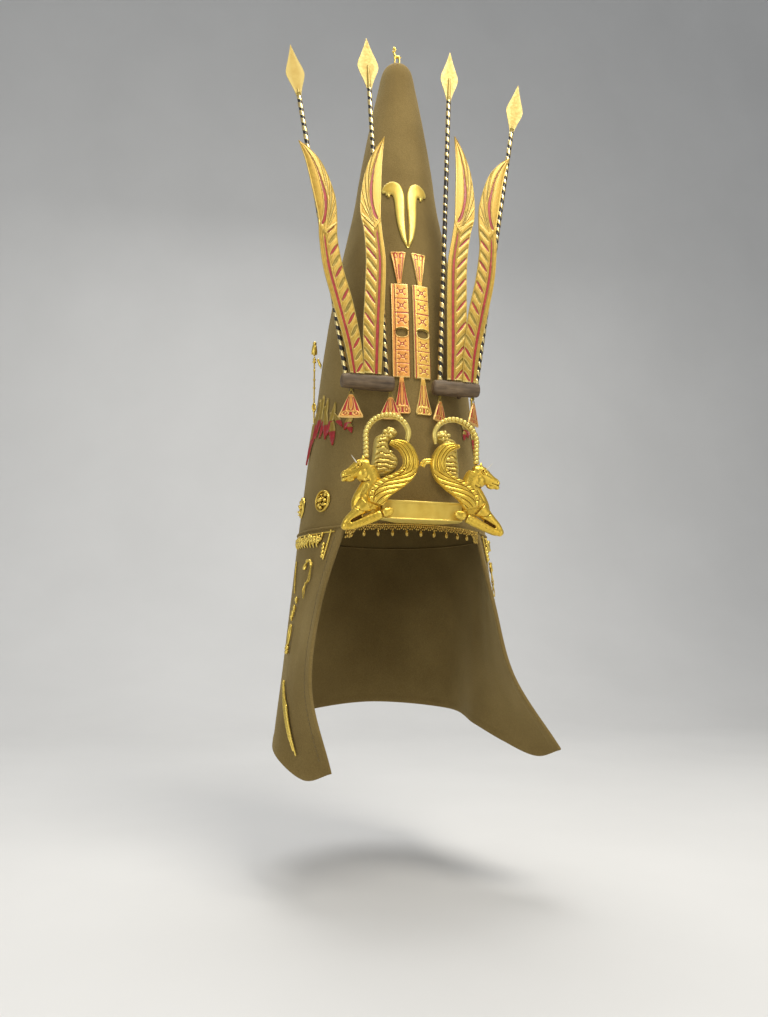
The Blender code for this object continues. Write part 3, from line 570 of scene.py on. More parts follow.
def line_distance(flat, line):
    """Distance of flat points from a polyline."""
    line = np.asarray(line, float)
    a, b = line[:-1], line[1:]
    run = b - a
    t = ((flat[:, None] - a) * run).sum(-1) / np.maximum((run ** 2).sum(-1), 1e-18)
    return np.linalg.norm(flat[:, None] - (a + run * np.clip(t, 0, 1)[..., None]), axis=-1).min(1)


# Materials
def shader(name):
    made = bpy.data.materials.new(name)
    made.use_nodes = True
    return made, made.node_tree.nodes, made.node_tree.links, made.node_tree.nodes["Principled BSDF"]


def noise_node(nodes, links, scale, detail=4.0, rough=0.55, stretch=(1, 1, 1)):
    spot = nodes.new("ShaderNodeTexCoord")
    turn = nodes.new("ShaderNodeMapping")
    turn.inputs["Scale"].default_value = stretch
    made = nodes.new("ShaderNodeTexNoise")
    made.inputs["Scale"].default_value = scale
    made.inputs["Detail"].default_value = detail
    made.inputs["Roughness"].default_value = rough
    links.new(spot.outputs["Object"], turn.inputs["Vector"])
    links.new(turn.outputs["Vector"], made.inputs["Vector"])
    return made.outputs["Fac"]


def ramp(nodes, links, source, stops):
    made = nodes.new("ShaderNodeValToRGB")
    while len(made.color_ramp.elements) < len(stops):
        made.color_ramp.elements.new(0.5)
    for element, (place, colour) in zip(made.color_ramp.elements, stops):
        element.position = place
        element.color = (*colour, 1.0) if len(colour) == 3 else (colour[0],) * 3 + (1.0,)
    links.new(source, made.inputs["Fac"])
    return made.outputs["Color"]


def blend(nodes, links, share, first, second, how="MIX"):
    made = nodes.new("ShaderNodeMix")
    made.data_type, made.blend_type = "RGBA", how
    for socket, value in (("Factor", share), ("A", first), ("B", second)):
        target = made.inputs[{"Factor": 0, "A": 6, "B": 7}[socket]]
        if hasattr(value, "is_linked"):
            links.new(value, target)
        elif socket == "Factor":
            target.default_value = value
        else:
            target.default_value = (*value, 1.0)
    return made.outputs[2]


def bump(nodes, links, body, *layers):
    """Layers of height, coarse ones first: source, strength, distance."""
    last = None
    for source, strength, distance in layers:
        made = nodes.new("ShaderNodeBump")
        made.inputs["Strength"].default_value = strength
        made.inputs["Distance"].default_value = distance
        links.new(source, made.inputs["Height"])
        if last:
            links.new(last, made.inputs["Normal"])
        last = made.outputs["Normal"]
    links.new(last, body.inputs["Normal"])


def attribute(nodes, name):
    made = nodes.new("ShaderNodeAttribute")
    made.attribute_name = name
    return made.outputs["Fac"]


def gold_material(name, bright, dark, rough, dent, scale, metal=0.85):
    """Beaten gilding, painted paler on its crests as a highlight with some rubbing, and brown in its hollows
    as patina with painted shade.
    """
    made, nodes, links, body = shader(name)
    body.inputs["Metallic"].default_value = metal
    cloud = noise_node(nodes, links, 90.0)
    worn = noise_node(nodes, links, 420.0)
    colour = blend(nodes, links, ramp(nodes, links, cloud, ((0.35, (0.0,)), (0.70, (1.0,)))), bright,
                   tuple(c * s for c, s in zip(bright, (0.88, 0.80, 0.60))))
    lie = attribute(nodes, "hollow")
    # Painted highlight: crests turn toward a paler gold, for light caught on the ridges as well as rubbing.
    crest = ramp(nodes, links, lie, ((0.22, (0.75,)), (0.46, (0.0,))))
    colour = blend(nodes, links, crest, colour,
                   tuple(min(c * s, 1.0) for c, s in zip(bright, (1.12, 1.22, 1.7))))
    # Hollows turn toward the dark colour: patina with painted shade in the recesses.
    sunk = ramp(nodes, links, lie, ((0.53, (0.0,)), (0.86, (1.0,))))
    links.new(blend(nodes, links, sunk, colour, dark), body.inputs["Base Color"])
    links.new(ramp(nodes, links, worn, ((0.25, (rough * 0.75,)), (0.75, (rough * 1.3,)))),
              body.inputs["Roughness"])
    bump(nodes, links, body, (noise_node(nodes, links, scale, 2.0), dent, 0.0012), (worn, 0.10, 0.0003))
    return made


def enamel_material(name="enamelled_gold", warm=(0.86, 0.56, 0.085), deep=(0.70, 0.38, 0.045),
                    pale=(0.97, 0.80, 0.30),
                    fire=(0.50, 0.018, 0.014)):
    """Gold with olive where the mark is a half, which feathers and strips use as painted shadow in grooves
    and under rims, and fused red where it is one; crests are painted pale as a highlight and hollows brown as
    patina with painted shade.
    """
    made, nodes, links, body = shader(name)
    mark = attribute(nodes, "red")
    cloud = noise_node(nodes, links, 260.0)
    gold = ramp(nodes, links, cloud, ((0.25, deep), (0.75, warm)))
    lie = attribute(nodes, "hollow")
    # Painted highlight: crests turn toward the pale colour.
    gold = blend(nodes, links, ramp(nodes, links, lie, ((0.25, (0.9,)), (0.46, (0.0,)))), gold, pale)
    # Hollows turn brown: patina with painted shade.
    gold = blend(nodes, links, ramp(nodes, links, lie, ((0.54, (0.0,)), (0.86, (1.0,)))), gold,
                 (0.26, 0.15, 0.02))
    # Olive for marks of a half: painted shadow in the feathers' grooves and under the strip hole's rim.
    olive = ramp(nodes, links, cloud, ((0.30, (0.20, 0.145, 0.018)), (0.75, (0.36, 0.25, 0.03))))
    red = ramp(nodes, links, cloud, ((0.30, tuple(c * 0.72 for c in fire)),
                                      (0.75, tuple(c * 1.25 for c in fire))))
    shade = blend(nodes, links, ramp(nodes, links, mark, ((0.22, (0.0,)), (0.42, (1.0,)))), gold, olive)
    links.new(blend(nodes, links, ramp(nodes, links, mark, ((0.62, (0.0,)), (0.82, (1.0,)))), shade, red),
              body.inputs["Base Color"])
    links.new(ramp(nodes, links, mark, ((0.3, (0.42,)), (0.8, (0.04,)))), body.inputs["Metallic"])
    links.new(ramp(nodes, links, cloud, ((0.2, (0.34,)), (0.8, (0.50,)))), body.inputs["Roughness"])
    body.inputs["Coat Weight"].default_value = 0.12
    body.inputs["Coat Roughness"].default_value = 0.15
    bump(nodes, links, body, (noise_node(nodes, links, 700.0, 2.0), 0.12, 0.0005))
    return made


def felt_material():
    """Thick brushed wool in olive khaki."""
    made, nodes, links, body = shader("felt")
    wide = noise_node(nodes, links, 14.0, 3.0)
    fine = noise_node(nodes, links, 900.0, 3.0, 0.65)
    hair = noise_node(nodes, links, 2600.0, 2.0, 0.7)
    base = ramp(nodes, links, wide, ((0.30, (0.178, 0.121, 0.039)), (0.70, (0.243, 0.171, 0.060))))
    speck = ramp(nodes, links, fine, ((0.30, (0.80, 0.79, 0.76)), (0.72, (1.12, 1.12, 1.10))))
    links.new(blend(nodes, links, 1.0, base, speck, "MULTIPLY"), body.inputs["Base Color"])
    body.inputs["Roughness"].default_value = 0.92
    body.inputs["Specular IOR Level"].default_value = 0.15
    body.inputs["Sheen Weight"].default_value = 0.35
    body.inputs["Sheen Roughness"].default_value = 0.45
    body.inputs["Sheen Tint"].default_value = (0.75, 0.62, 0.32, 1.0)
    bump(nodes, links, body, (noise_node(nodes, links, 60.0, 4.0), 0.25, 0.0015), (fine, 0.55, 0.0006),
         (hair, 0.35, 0.0003))
    return made


def wood_material():
    """Weathered grey-brown wood with the grain along the bar."""
    made, nodes, links, body = shader("wood")
    grain = noise_node(nodes, links, 260.0, 6.0, 0.65, stretch=(0.12, 1.0, 1.0))
    cloud = noise_node(nodes, links, 60.0)
    colour = ramp(nodes, links, grain, ((0.28, (0.046, 0.029, 0.014)), (0.52, (0.140, 0.092, 0.046)),
                                        (0.78, (0.290, 0.203, 0.112))))
    shade = ramp(nodes, links, cloud, ((0.25, (0.65, 0.62, 0.60)), (0.75, (1.1, 1.1, 1.1))))
    links.new(blend(nodes, links, 1.0, colour, shade, "MULTIPLY"), body.inputs["Base Color"])
    body.inputs["Roughness"].default_value = 0.62
    bump(nodes, links, body, (cloud, 0.25, 0.0015), (grain, 0.5, 0.0006))
    return made


def wound_material():
    """Dark lacquered rod with a gold ribbon where the mark says so."""
    made, nodes, links, body = shader("wound_shaft")
    mark = ramp(nodes, links, attribute(nodes, "red"), ((0.40, (0.0,)), (0.60, (1.0,))))
    cloud = noise_node(nodes, links, 500.0)
    dark = ramp(nodes, links, cloud, ((0.30, (0.010, 0.008, 0.007)), (0.75, (0.035, 0.027, 0.020))))
    links.new(blend(nodes, links, mark, dark, (0.90, 0.72, 0.32)), body.inputs["Base Color"])
    links.new(mark, body.inputs["Metallic"])
    links.new(ramp(nodes, links, cloud, ((0.2, (0.26,)), (0.8, (0.42,)))), body.inputs["Roughness"])
    bump(nodes, links, body, (cloud, 0.2, 0.0004))
    return made


def plain_material(name, colour, rough):
    """One colour with faint clouds and grain."""
    made, nodes, links, body = shader(name)
    cloud = noise_node(nodes, links, 300.0)
    low = tuple(c * 0.8 for c in colour)
    links.new(ramp(nodes, links, cloud, ((0.3, low), (0.7, colour))), body.inputs["Base Color"])
    body.inputs["Roughness"].default_value = rough
    bump(nodes, links, body, (cloud, 0.15, 0.0004))
    return made


FELT_CLOTH = felt_material()
# Each gold: its colour, then its hollow colour, which is patina with painted shade; its crests get a painted
# highlight.
GOLD = gold_material("gold", (0.78, 0.53, 0.070), (0.12, 0.055, 0.008), 0.30, 0.16, 160.0, metal=0.80)
FINE_GOLD = gold_material("fine_gold", (0.74, 0.51, 0.080), (0.07, 0.035, 0.008), 0.30, 0.10, 500.0,
                          metal=0.80)
PALE_GOLD = gold_material("pale_gold", (0.74, 0.545, 0.115), (0.14, 0.085, 0.015), 0.34, 0.12, 500.0,
                          metal=0.65)
DULL_GOLD = gold_material("dull_gold", (0.45, 0.28, 0.048), (0.05, 0.026, 0.007), 0.26, 0.20, 500.0,
                          metal=0.90)
POLISHED = gold_material("polished_gold", (0.74, 0.53, 0.090), (0.40, 0.26, 0.045), 0.36, 0.05, 120.0,
                         metal=0.40)
BLADE = gold_material("blade_gold", (0.44, 0.315, 0.066), (0.22, 0.15, 0.035), 0.46, 0.05, 120.0, metal=0.30)
# Each enamel: warm and deep gold, a pale colour for the painted highlight on crests, and red.
ENAMEL = enamel_material("feather_gold", (0.51, 0.330, 0.043), (0.39, 0.228, 0.026), (0.68, 0.52, 0.160),
                         (0.36, 0.014, 0.013))
AMBER = enamel_material("amber_enamel", (0.78, 0.490, 0.080), (0.66, 0.350, 0.050), (0.92, 0.70, 0.250),
                        (0.44, 0.022, 0.018))
EMBER = enamel_material("orange_enamel", (0.76, 0.350, 0.062), (0.64, 0.230, 0.040), (0.90, 0.60, 0.190),
                        (0.44, 0.022, 0.016))
WOOD = wood_material()
WOUND = wound_material()
# Pale colour of the ear spikes: a painted highlight.
EAR_PAINTED_HIGHLIGHT = plain_material("bone", (0.80, 0.76, 0.64), 0.4)
THREAD = plain_material("thread", (0.20, 0.15, 0.07), 0.85)


# Felt
def noise_at(x, y, z):
    """Smooth noise at points given by their three coordinates."""
    spots = np.stack(np.broadcast_arrays(x, y, z), -1).reshape(-1, 3)
    return np.array([noise.noise(spot) for spot in spots]).reshape(x.shape)


def felt_crown():
    """The tall cone: a soft outside, a turned brow edge and a plain inside."""
    turns = circle(180)
    rise = 1 - (1 - np.linspace(0, 1, 110)) ** 1.35
    level = np.r_[0.0, 0.0006, 0.0013, rise[1:] * CROWN_HEIGHT]
    turn, z = np.meshgrid(turns, level)
    x, y = np.sin(turn), np.cos(turn)
    wave = noise_at(x * 1.6, y * 1.6, z * 14) * 0.6 + noise_at(x * 5, y * 5, z * 55) * 0.4
    sunk = -(wave + 0.5) * FELT_WAVE
    sunk *= step(z, 0.0, 0.03) * (1 - step(z, 0.47, 0.50))
    outside = crown_point(turn, z, sunk)
    for row, share in enumerate((1.0, 0.225, 0.05)):
        outside[row] -= unit(outside[row] * (1, 1, 0)) * BROW_ROUNDING * share
    inner_levels = np.linspace(0.0, 0.965, 36) * CROWN_HEIGHT
    turn_in, z_in = np.meshgrid(turns, inner_levels)
    wide, deep = crown_half(z_in)
    within = np.stack([(wide - FELT) * np.sin(turn_in), -(deep - FELT) * np.cos(turn_in), z_in], -1)
    within[0] += unit(within[0] * (1, 1, 0)) * 0.0006
    tip = np.stack([FELT * np.sin(turns), -FELT * np.cos(turns), 0 * turns + CROWN_HEIGHT - 1.6 * FELT], -1)
    rings = np.concatenate([outside[::-1], within, tip[None]])
    points, faces = closed(rings)
    return piece("hat_crown_felt", Heap().add(points, faces), FELT_CLOTH, ("felt_crown",), sharp=60)


def cluster(low, high, count, near_low, near_high):
    """Places from low to high that crowd together within near of an end."""
    core = np.linspace(low + near_low, high - near_high, count)
    close = (0.0, 0.15, 0.4, 0.75)
    start = [low + near_low * k for k in close] if near_low else []
    end = [high - near_high * k for k in close][::-1] if near_high else []
    return np.r_[start, core, end]


def felt_skirt():
    """The felt sheet round the nape and cheeks, with a turned and stitched edge."""
    around = cluster(0, SKIRT_LAST, 220, 0.05, 0.05)
    down = cluster(0, 1, 84, 0.0, 0.0065)
    a, d = np.meshgrid(around, down)
    face = skirt_place(a, d)
    normal = skirt_normal(a, d)
    run = np.linalg.norm(np.diff(face, axis=1), axis=2)
    along = np.concatenate([np.zeros((len(down), 1)), np.cumsum(run, axis=1)], 1)
    fall = np.linalg.norm(np.diff(face, axis=0), axis=2)
    depth = np.concatenate([np.zeros((1, len(around))), np.cumsum(fall, axis=0)], 0)
    side = np.minimum(along, along[:, -1:] - along)
    hem = depth[-1:] - depth
    rim = -0.0012 * np.log(np.exp(-side / 0.0012) + np.exp(-hem / 0.0012))
    rim = np.clip(rim, 0, None)
    edge = np.minimum(side, hem)
    turned = 1 - step(rim, 0.0064, 0.0080)
    seam = bump_line(rim, TURNED_EDGE, 0.0007)
    soft = (noise_at(a * 1.1, d * 3.0, 4.0) * 0.0006 - 0.0003) * step(depth, 0.005, 0.05)
    half = FELT / 2
    roll = quarter_round(edge / half)
    relief = 0.00045 * turned - 0.00035 * seam
    outer = face + normal * (-half + soft + (half + relief) * roll)[..., None]
    inner = face + normal * (-half + soft - (half + relief) * roll)[..., None]
    rings = np.concatenate([outer, inner[::-1]], 0).transpose(1, 0, 2)
    points, faces = closed(rings)
    return piece("hat_skirt_felt", Heap().add(points, faces), FELT_CLOTH, ("felt_skirt",), sharp=75)


def seam_welt():
    """The soft welt that covers the seam between the cone and the skirt, outside and in."""
    heap = Heap()
    ends = np.radians([SKIRT_STATIONS[0][0] - 1.5, SKIRT_STATIONS[-1][0] + 1.5])
    turns = np.linspace(ends[0], ends[1], 240)
    for inset, radius in ((-0.0002, 0.0012), (FELT - 0.0002, 0.0008)):
        wide, deep = BROW_WIDTH / 2 - inset, BROW_DEPTH / 2 - inset
        path = np.stack([wide * np.sin(turns), -deep * np.cos(turns), 0 * turns - GAP / 2], 1)
        heap.add(*tube(path, radius * (1 + 0.06 * np.sin(np.arange(240) * 1.9)), sides=9))
    return piece("seam_welt", heap, FELT_CLOTH)


def stitches():
    """Short stitches along the turned edges of the cheek flaps."""
    heap = Heap()
    down = np.linspace(0.03, 1, 400)
    length, gap = 0.0024, 0.0036

    def row(path, normal):
        run = np.r_[0, np.cumsum(np.linalg.norm(np.diff(path, axis=0), axis=1))]
        for place in np.arange(gap, run[-1] - gap, gap):
            ends = [np.array([np.interp(place + s * length / 2, run, path[:, k]) for k in range(3)])
                    for s in (-1, 1)]
            out = unit(np.array([np.interp(place, run, normal[:, k]) for k in range(3)]))
            middle = (ends[0] + ends[1]) / 2 + out * 0.00016
            heap.add(*tube([ends[0] - out * 0.0002, middle, ends[1] - out * 0.0002], 0.00022, sides=5))

    for start, way in ((0, 1), (SKIRT_LAST, -1)):
        edge = around = np.full(len(down), float(start))
        for _ in range(6):
            gone = np.linalg.norm(skirt_place(around, down) - skirt_place(edge, down), axis=1)
            around = np.clip(around + way * (TURNED_EDGE - gone) * 25, 0, SKIRT_LAST)
        keep = down < 0.955
        row(skirt_point(around, down, 0.0003)[keep], skirt_normal(around, down)[keep])
    return piece("edge_stitches", heap, THREAD)


# Emblem at the brow
def emblem_plate():
    """The bar between the horses, with a raised lip along its top and foot."""
    seat = float(crown_half(PLATE_LOW)[1]) + GAP
    half = PLATE_WIDTH / 2
    thin = EMBLEM_FRONT - (EMBLEM_FRONT - seat) * 0.4
    tall = PLATE_HIGH - PLATE_LOW
    section = []
    for s in np.linspace(0, 1, 45):
        z = PLATE_LOW + tall * s
        lip = 0.0009 * (bump_line(s, 0.935, 0.055) + 0.5 * bump_line(s, 0.035, 0.03))
        cup = -0.0006 * math.sin(math.pi * s)
        corner = 0.0009 * (1 - quarter_round(min(s, 1 - s) / 0.05))
        section.append((lip + cup - corner - 0.0006, z))
    rings = []
    for x in np.linspace(-half, half, 50):
        back = np.interp(abs(x), [0, half * 0.5, half], [seat, seat, thin])
        wave = 0.00006 * math.sin(x * 420) + 0.00004 * math.sin(x * 950 + 1)
        ring = [(x, -EMBLEM_FRONT - f - wave, z) for f, z in section]
        ring += [(x, -back, z) for _, z in section[::-1]]
        rings.append(ring)
    return piece("brow_plate", Heap().add(*closed(rings)), POLISHED, ("emblem_plate",), sharp=50)


# Horse forms in millimetres from the middle: across, up, half-width, half-depth
CHEST = ((46.2, 6.5, 11.6, 5.6), (45.4, 13, 12.6, 6.9), (43.9, 20, 11.3, 7.2), (42.3, 27, 9.3, 6.8),
         (41.6, 33, 7.6, 6.2), (43.8, 39, 7.4, 5.8), (45.5, 43, 6.2, 5.2))
SKULL = ((43.8, 43.6, 5.6, 4.8), (47.2, 43.2, 7.2, 5.3), (51.2, 41.6, 7.4, 5.1), (55.4, 39.2, 6.0, 4.5),
         (59.6, 36.8, 4.8, 3.9), (63.2, 34.9, 4.5, 3.7), (65.4, 33.8, 3.2, 2.9), (66.0, 33.5, 1.6, 1.8))
FOREARM = ((47.0, 11.5, 6.6, 4.6), (52.0, 7.2, 5.2, 4.3), (56.2, 2.9, 4.3, 3.9), (60.0, -0.9, 3.9, 3.6),
           (62.6, -4.2, 3.5, 3.3), (63.4, -6.4, 2.4, 2.6))
CANNON = ((63.0, -7.4, 2.2, 2.4), (59.0, -6.2, 3.3, 3.0), (53.0, -3.9, 3.5, 3.0), (47.0, -1.3, 3.8, 3.0),
          (40.0, 1.9, 4.0, 3.0), (35.2, 3.9, 3.6, 3.0))
HOOF = ((34.0, 4.6, 3.0, 2.8), (32.0, 5.4, 3.9, 3.1), (29.0, 6.4, 3.5, 3.0), (26.4, 7.0, 2.6, 2.4),
        (25.2, 7.2, 1.4, 1.6))


def limb(rows, count, depth, side, square=1.0):
    """An oval rod through sections in millimetres."""
    rows = smooth(rows, count)
    path = np.stack([side * rows[:, 0], 0 * rows[:, 0], rows[:, 1]], 1) * MM
    along = unit(np.gradient(path, axis=0))
    across = np.stack([-along[:, 2], 0 * along[:, 0], along[:, 0]], 1)
    turns = circle(22)
    wide = np.sign(np.cos(turns)) * np.abs(np.cos(turns)) ** square
    deep = np.sign(np.sin(turns)) * np.abs(np.sin(turns)) ** square
    rings = path[:, None] + across[:, None] * (wide[None, :, None] * rows[:, 2, None, None] * MM)
    rings[..., 1] += -depth + deep[None] * rows[:, 3, None] * MM
    return closed(rings)


def horse(word, side):
    """Forepart of a winged horse with head, chest and folded leg."""
    heap = Heap()
    legs = EMBLEM_FRONT + 3.2 * MM

    def at(x, z, y=HORSE_MIDDLE):
        return (side * x * MM, -y, z * MM)

    def lump(x, z, radii, forward=0.0, lean=0.0):
        heap.add(*ball(at(x, z, HORSE_MIDDLE + forward * MM), np.array(radii) * MM, side * lean, 9, 16))

    heap.add(*limb(CHEST, 26, HORSE_MIDDLE, side))
    heap.add(*limb(SKULL, 24, HORSE_MIDDLE, side, square=0.9))
    heap.add(*limb(FOREARM, 20, legs - 0.4 * MM, side))
    heap.add(*limb(CANNON, 30, legs + 0.3 * MM, side, square=0.85))
    heap.add(*limb(HOOF, 16, legs + 0.5 * MM, side, square=0.8))
    lump(48.6, 37.2, (6.3, 6.0, 6.6))
    lump(63.3, -6.4, (3.7, 3.3, 3.6), EMBLEM_FRONT / MM - HORSE_MIDDLE / MM + 3.1)
    lump(50.2, 46.8, (3.4, 3.4, 2.6), 0.4)
    lump(51.4, 46.0, (2.6, 1.8, 1.1), 3.6, -0.55)
    lump(64.0, 32.0, (2.6, 2.7, 2.0), 0.6, -0.35)
    lump(64.4, 36.0, (2.2, 2.2, 1.6), 1.8, -0.5)
    lump(58.5, 31.8, (3.6, 2.6, 1.5), 0.4, -0.25)
    lump(46.6, 30.5, (3.0, 4.0, 6.0), 1.6, -0.3)
    lump(46.5, 14.5, (7.0, 3.6, 7.0), 4.6)

    def carve(points, normals):
        flat = np.stack([points[:, 0] * side, points[:, 2]], 1) / MM
        front = np.clip(-normals[:, 1] * 1.5, 0, 1)
        cut = np.zeros(len(points))
        for line, width, deep in (
                (((58.6, -2.6), (53.0, 0.5), (47.0, 3.6), (40.5, 6.2)), 0.85, 1.7),
                (((34.4, 8.4), (34.9, 5.0), (33.6, 1.4)), 0.5, 0.9),
                (((66.6, 33.0), (63.0, 33.6), (59.4, 34.6)), 0.42, 0.75),
                (((44.6, 31.6), (48.0, 30.4), (53.0, 31.8)), 0.8, 0.7),
                (((52.6, 15.5), (49.6, 21.5), (45.8, 27.5)), 0.8, 0.45),
                (((56.5, 8.8), (51.5, 5.6), (46.5, 4.6)), 0.8, 0.6),
                (((59.0, 39.8), (55.0, 41.2)), 0.8, 0.4)):
            cut -= np.exp(-(line_distance(flat, line) / width) ** 2) * deep * MM * front
        socket = np.linalg.norm((flat - (52.2, 43.6)) * (0.85, 1.2), axis=1)
        cut -= np.exp(-(socket / 2.0) ** 4) * 1.7 * MM * front
        nostril = np.linalg.norm((flat - (64.6, 36.0)) * (1.0, 1.3), axis=1)
        cut -= np.exp(-(nostril / 0.95) ** 2) * 1.3 * MM * front
        wave = np.sin(flat[:, 0] * 1.9 + flat[:, 1] * 0.7) * np.sin(flat[:, 1] * 1.3)
        return cut + wave * 0.05 * MM

    extra = Heap()
    eye = at(52.2, 43.6, HORSE_MIDDLE + 5.3 * MM)
    extra.add(*ball(eye, mm(1.35, 1.3, 1.0), side * -0.5, 9, 16))
    rim = [np.array(eye) + mm(side * (2.7 * math.cos(t) * math.cos(0.5) + 1.8 * math.sin(t) * math.sin(0.5)),
                                     -0.1,
                                     1.8 * math.sin(t) * math.cos(0.5) - 2.7 * math.cos(t) * math.sin(0.5))
           for t in np.linspace(0, 2 * math.pi, 25)]
    extra.add(*tube(rim, 0.42 * MM, sides=7, ends=False))
    lobe = [at(50.2, 45.6, HORSE_MIDDLE + 2.4 * MM), at(49.4, 48.6, HORSE_MIDDLE + 3.6 * MM),
            at(49.9, 51.8, HORSE_MIDDLE + 3.4 * MM)]
    extra.add(*tube(smooth(lobe, 12), mm(1.3, 1.7, 1.9, 2.0, 2.0, 1.9, 1.7, 1.5, 1.2, 0.9, 0.5, 0.15),
                    sides=12, flat=0.6))
    return cast("horse_cast_" + word, heap, GOLD, (f"horse_{word}",), relax=6, carve=carve,
                extra=extra)


def wing(word, side):
    """The upswept wing with its long feathers and a row of scales."""
    heap = Heap()
    back = HORSE_MIDDLE + 6.1 * MM + GAP
    rows = smooth(WING, 150) * HORSE_WIDTH

    def place(u, s, lift):
        x_out, z_out, x_in, z_in = columns_at(rows, s)
        x, z = x_out + (x_in - x_out) * u, z_out + (z_in - z_out) * u
        bow = np.sin(np.pi * np.clip(u, 0, 1)) * 1.4 * MM
        return np.stack([side * x, -back - 2.4 * MM - lift - bow, z], -1)

    def arch(u, low, high, power=0.5):
        t = np.clip((u - low) / (high - low), 0, 1)
        return np.clip(1 - (2 * t - 1) ** 2, 0, 1) ** power

    def height(u, s):
        long = np.maximum.reduce([arch(u, *ends) for ends in ((0.0, 0.36), (0.34, 0.62), (0.60, 0.84),
                                                              (0.82, 1.0))])
        run = (s - 0.36 * u) / 0.115
        part = run - np.floor(run)
        leaf = arch(part, 0.0, 1.0, 0.45) + 0.22 * bump_line(part, 0.45, 0.07)
        cell = (s - 0.40) / 0.60 * 9
        part = cell - np.floor(cell)
        scale = arch(u, 0.70, 1.0) * arch(part, 0.0, 1.0) * 1.1
        fold = step(s - 0.10 * u, 0.38, 0.46)
        row = step(s, 0.40, 0.45) * step(u, 0.69, 0.71)
        form = (long * (1 - fold) + leaf * fold) * (1 - row) + scale * row
        border = -0.5 * bump_line(u, 0.69, 0.014) * step(s, 0.42, 0.50)
        return (form * 1.35 + border) * MM * step(s, 0, 0.06) * (1 - 0.3 * step(s, 0.92, 1.0))

    points, faces, marks = slab(place, height, 3.4 * MM, 64, 190, round_edge=0.10)
    heap.add(points, faces, marks)
    curl = [(0.425, 0.955), (0.395, 0.945), (0.372, 0.915)]
    path = [(side * x * HORSE_WIDTH, -back - 3.0 * MM, z * HORSE_WIDTH) for x, z in curl]
    heap.add(*tube(smooth(path, 8), mm(1.0, 1.5, 1.7, 1.7, 1.5, 1.3, 1.0, 0.5)))
    if side > 0:
        for rows_of in (((6.5, 50.4), (2.0, 50.2), (-1.2, 48.4), (-2.6, 45.0)),
                        ((6.5, 48.4), (2.4, 48.2), (0.6, 46.6), (-0.6, 44.4))):
            path = [(x * MM, -back - 0.4 * MM, z * MM) for x, z in rows_of]
            heap.add(*tube(smooth(path, 14), 1.25 * MM, sides=10, flat=0.6))
    return piece("wing_relief_" + word, heap, GOLD, (f"wing_{word}",))


def mane(word, side):
    """The upright ribbed mane, its leafy tuft and its rosette."""
    heap = Heap()
    outline = smooth(MANE + MANE[:1], 90)[:-1] * HORSE_WIDTH
    back = float(max(crown_front(x, z) for x, z in outline)) + GAP
    spine = np.array([(29.5, 41), (29.5, 48), (29.0, 55), (29.6, 62), (29.8, 69), (27.5, 75), (24.5, 81)],
                     float)

    def place(x, z, lift):
        return np.stack([side * x, -back - lift, z], -1)

    def height(x, z, rim):
        centre = np.interp(z / MM, spine[:, 1], spine[:, 0]) * MM
        off = (x - centre) / (9 * MM)
        wavy = (z / MM + 1.6 * np.abs(off) + 0.45 * np.sin(x / MM * 0.8 + z / MM * 0.3)
                + 0.9 * np.sin(z / MM * 0.24 + 1))
        ribs = np.abs(np.sin(wavy / 4.3 * math.pi))
        dome = quarter_round(rim / (5 * MM))
        strands = 0.16 * np.sin(x / MM * 3.1 + 2.0 * np.sin(z / MM * 0.5))
        return (-6.0 + 4.6 * dome + (1.15 * (ribs ** 0.55 - 0.5) + 0.5 * strands) * step(rim, 0,
                                                                                         1.2 * MM)) * MM

    heap.add(*cut_plate(outline, place, height, 11.0 * MM, 0.55 * MM, round_edge=0.8 * MM))
    middle = np.array([side * 24.6 * MM, -back - 9.0 * MM, 77.2 * MM])
    for k in range(5):
        turn = k * 2 * math.pi / 5 + 0.3
        petal = middle + mm(math.cos(turn) * 3.0, 0.2, math.sin(turn) * 3.0)
        heap.add(*ball(petal, mm(2.3, 1.5, 1.7), turn, 8, 14))
    heap.add(*ball(middle - mm(0, 1.0, 0), 1.5 * MM, 0, 9, 14))
    for k, (x, z, reach, turn) in enumerate(((20.0, 72, 5.6, 2.9), (20.5, 58, 6.0, 2.7), (19.0, 54, 6.4, 3.0),
                                                (19.5, 50, 6.0, 3.4), (22.5, 47, 5.0, 3.8))):
        start = np.array([x + 5, z + 1])
        end = start + reach * np.array([math.cos(turn), math.sin(turn)])
        path = [(side * a * MM, -back - 7.2 * MM, b * MM) for a,
                b in (start, (start + end) / 2 + (0, 1.0), end)]
        heap.add(*tube(smooth(path, 9), mm(1.2, 1.5, 1.6, 1.5, 1.3, 1.1, 0.9, 0.6, 0.2), sides=8))
    return piece("mane_relief_" + word, heap, PALE_GOLD, (f"mane_{word}",))


def horn(word, side):
    """The long horn, deeply knobbed to four fifths and then smooth, with a flange behind."""
    heap = Heap()
    count = 260
    rows = smooth(HORN, count) * HORSE_WIDTH
    s = np.linspace(0, 1, count)
    y = HORSE_MIDDLE + 0.5 * MM - 1.5 * MM * s
    path = np.stack([side * rows[:, 0], -y, rows[:, 1]], 1)
    knobs = np.abs(np.sin(s * 19 * math.pi / 0.80)) ** 0.50
    ringed = 1 - step(s, 0.78, 0.81)
    radius = (2.6 - 0.75 * s) * (1 - ringed * 0.44 * (1 - knobs)) * (1 - 0.4 * step(s, 0.93, 1.0)) * MM
    heap.add(*tube(path, radius, sides=18))
    inner = path + mm(0, 1.6, 0)
    centre = path.mean(0)
    shift = unit(centre - path) * (2.0 - 0.5 * s[:, None]) * MM * [1, 0, 1]
    keep = slice(int(count * 0.30), int(count * 0.97))
    heap.add(*tube((inner + shift)[keep], 0.85 * MM, sides=8))
    return piece("horn_beaded_" + word, heap, PALE_GOLD, (f"horn_{word}",))


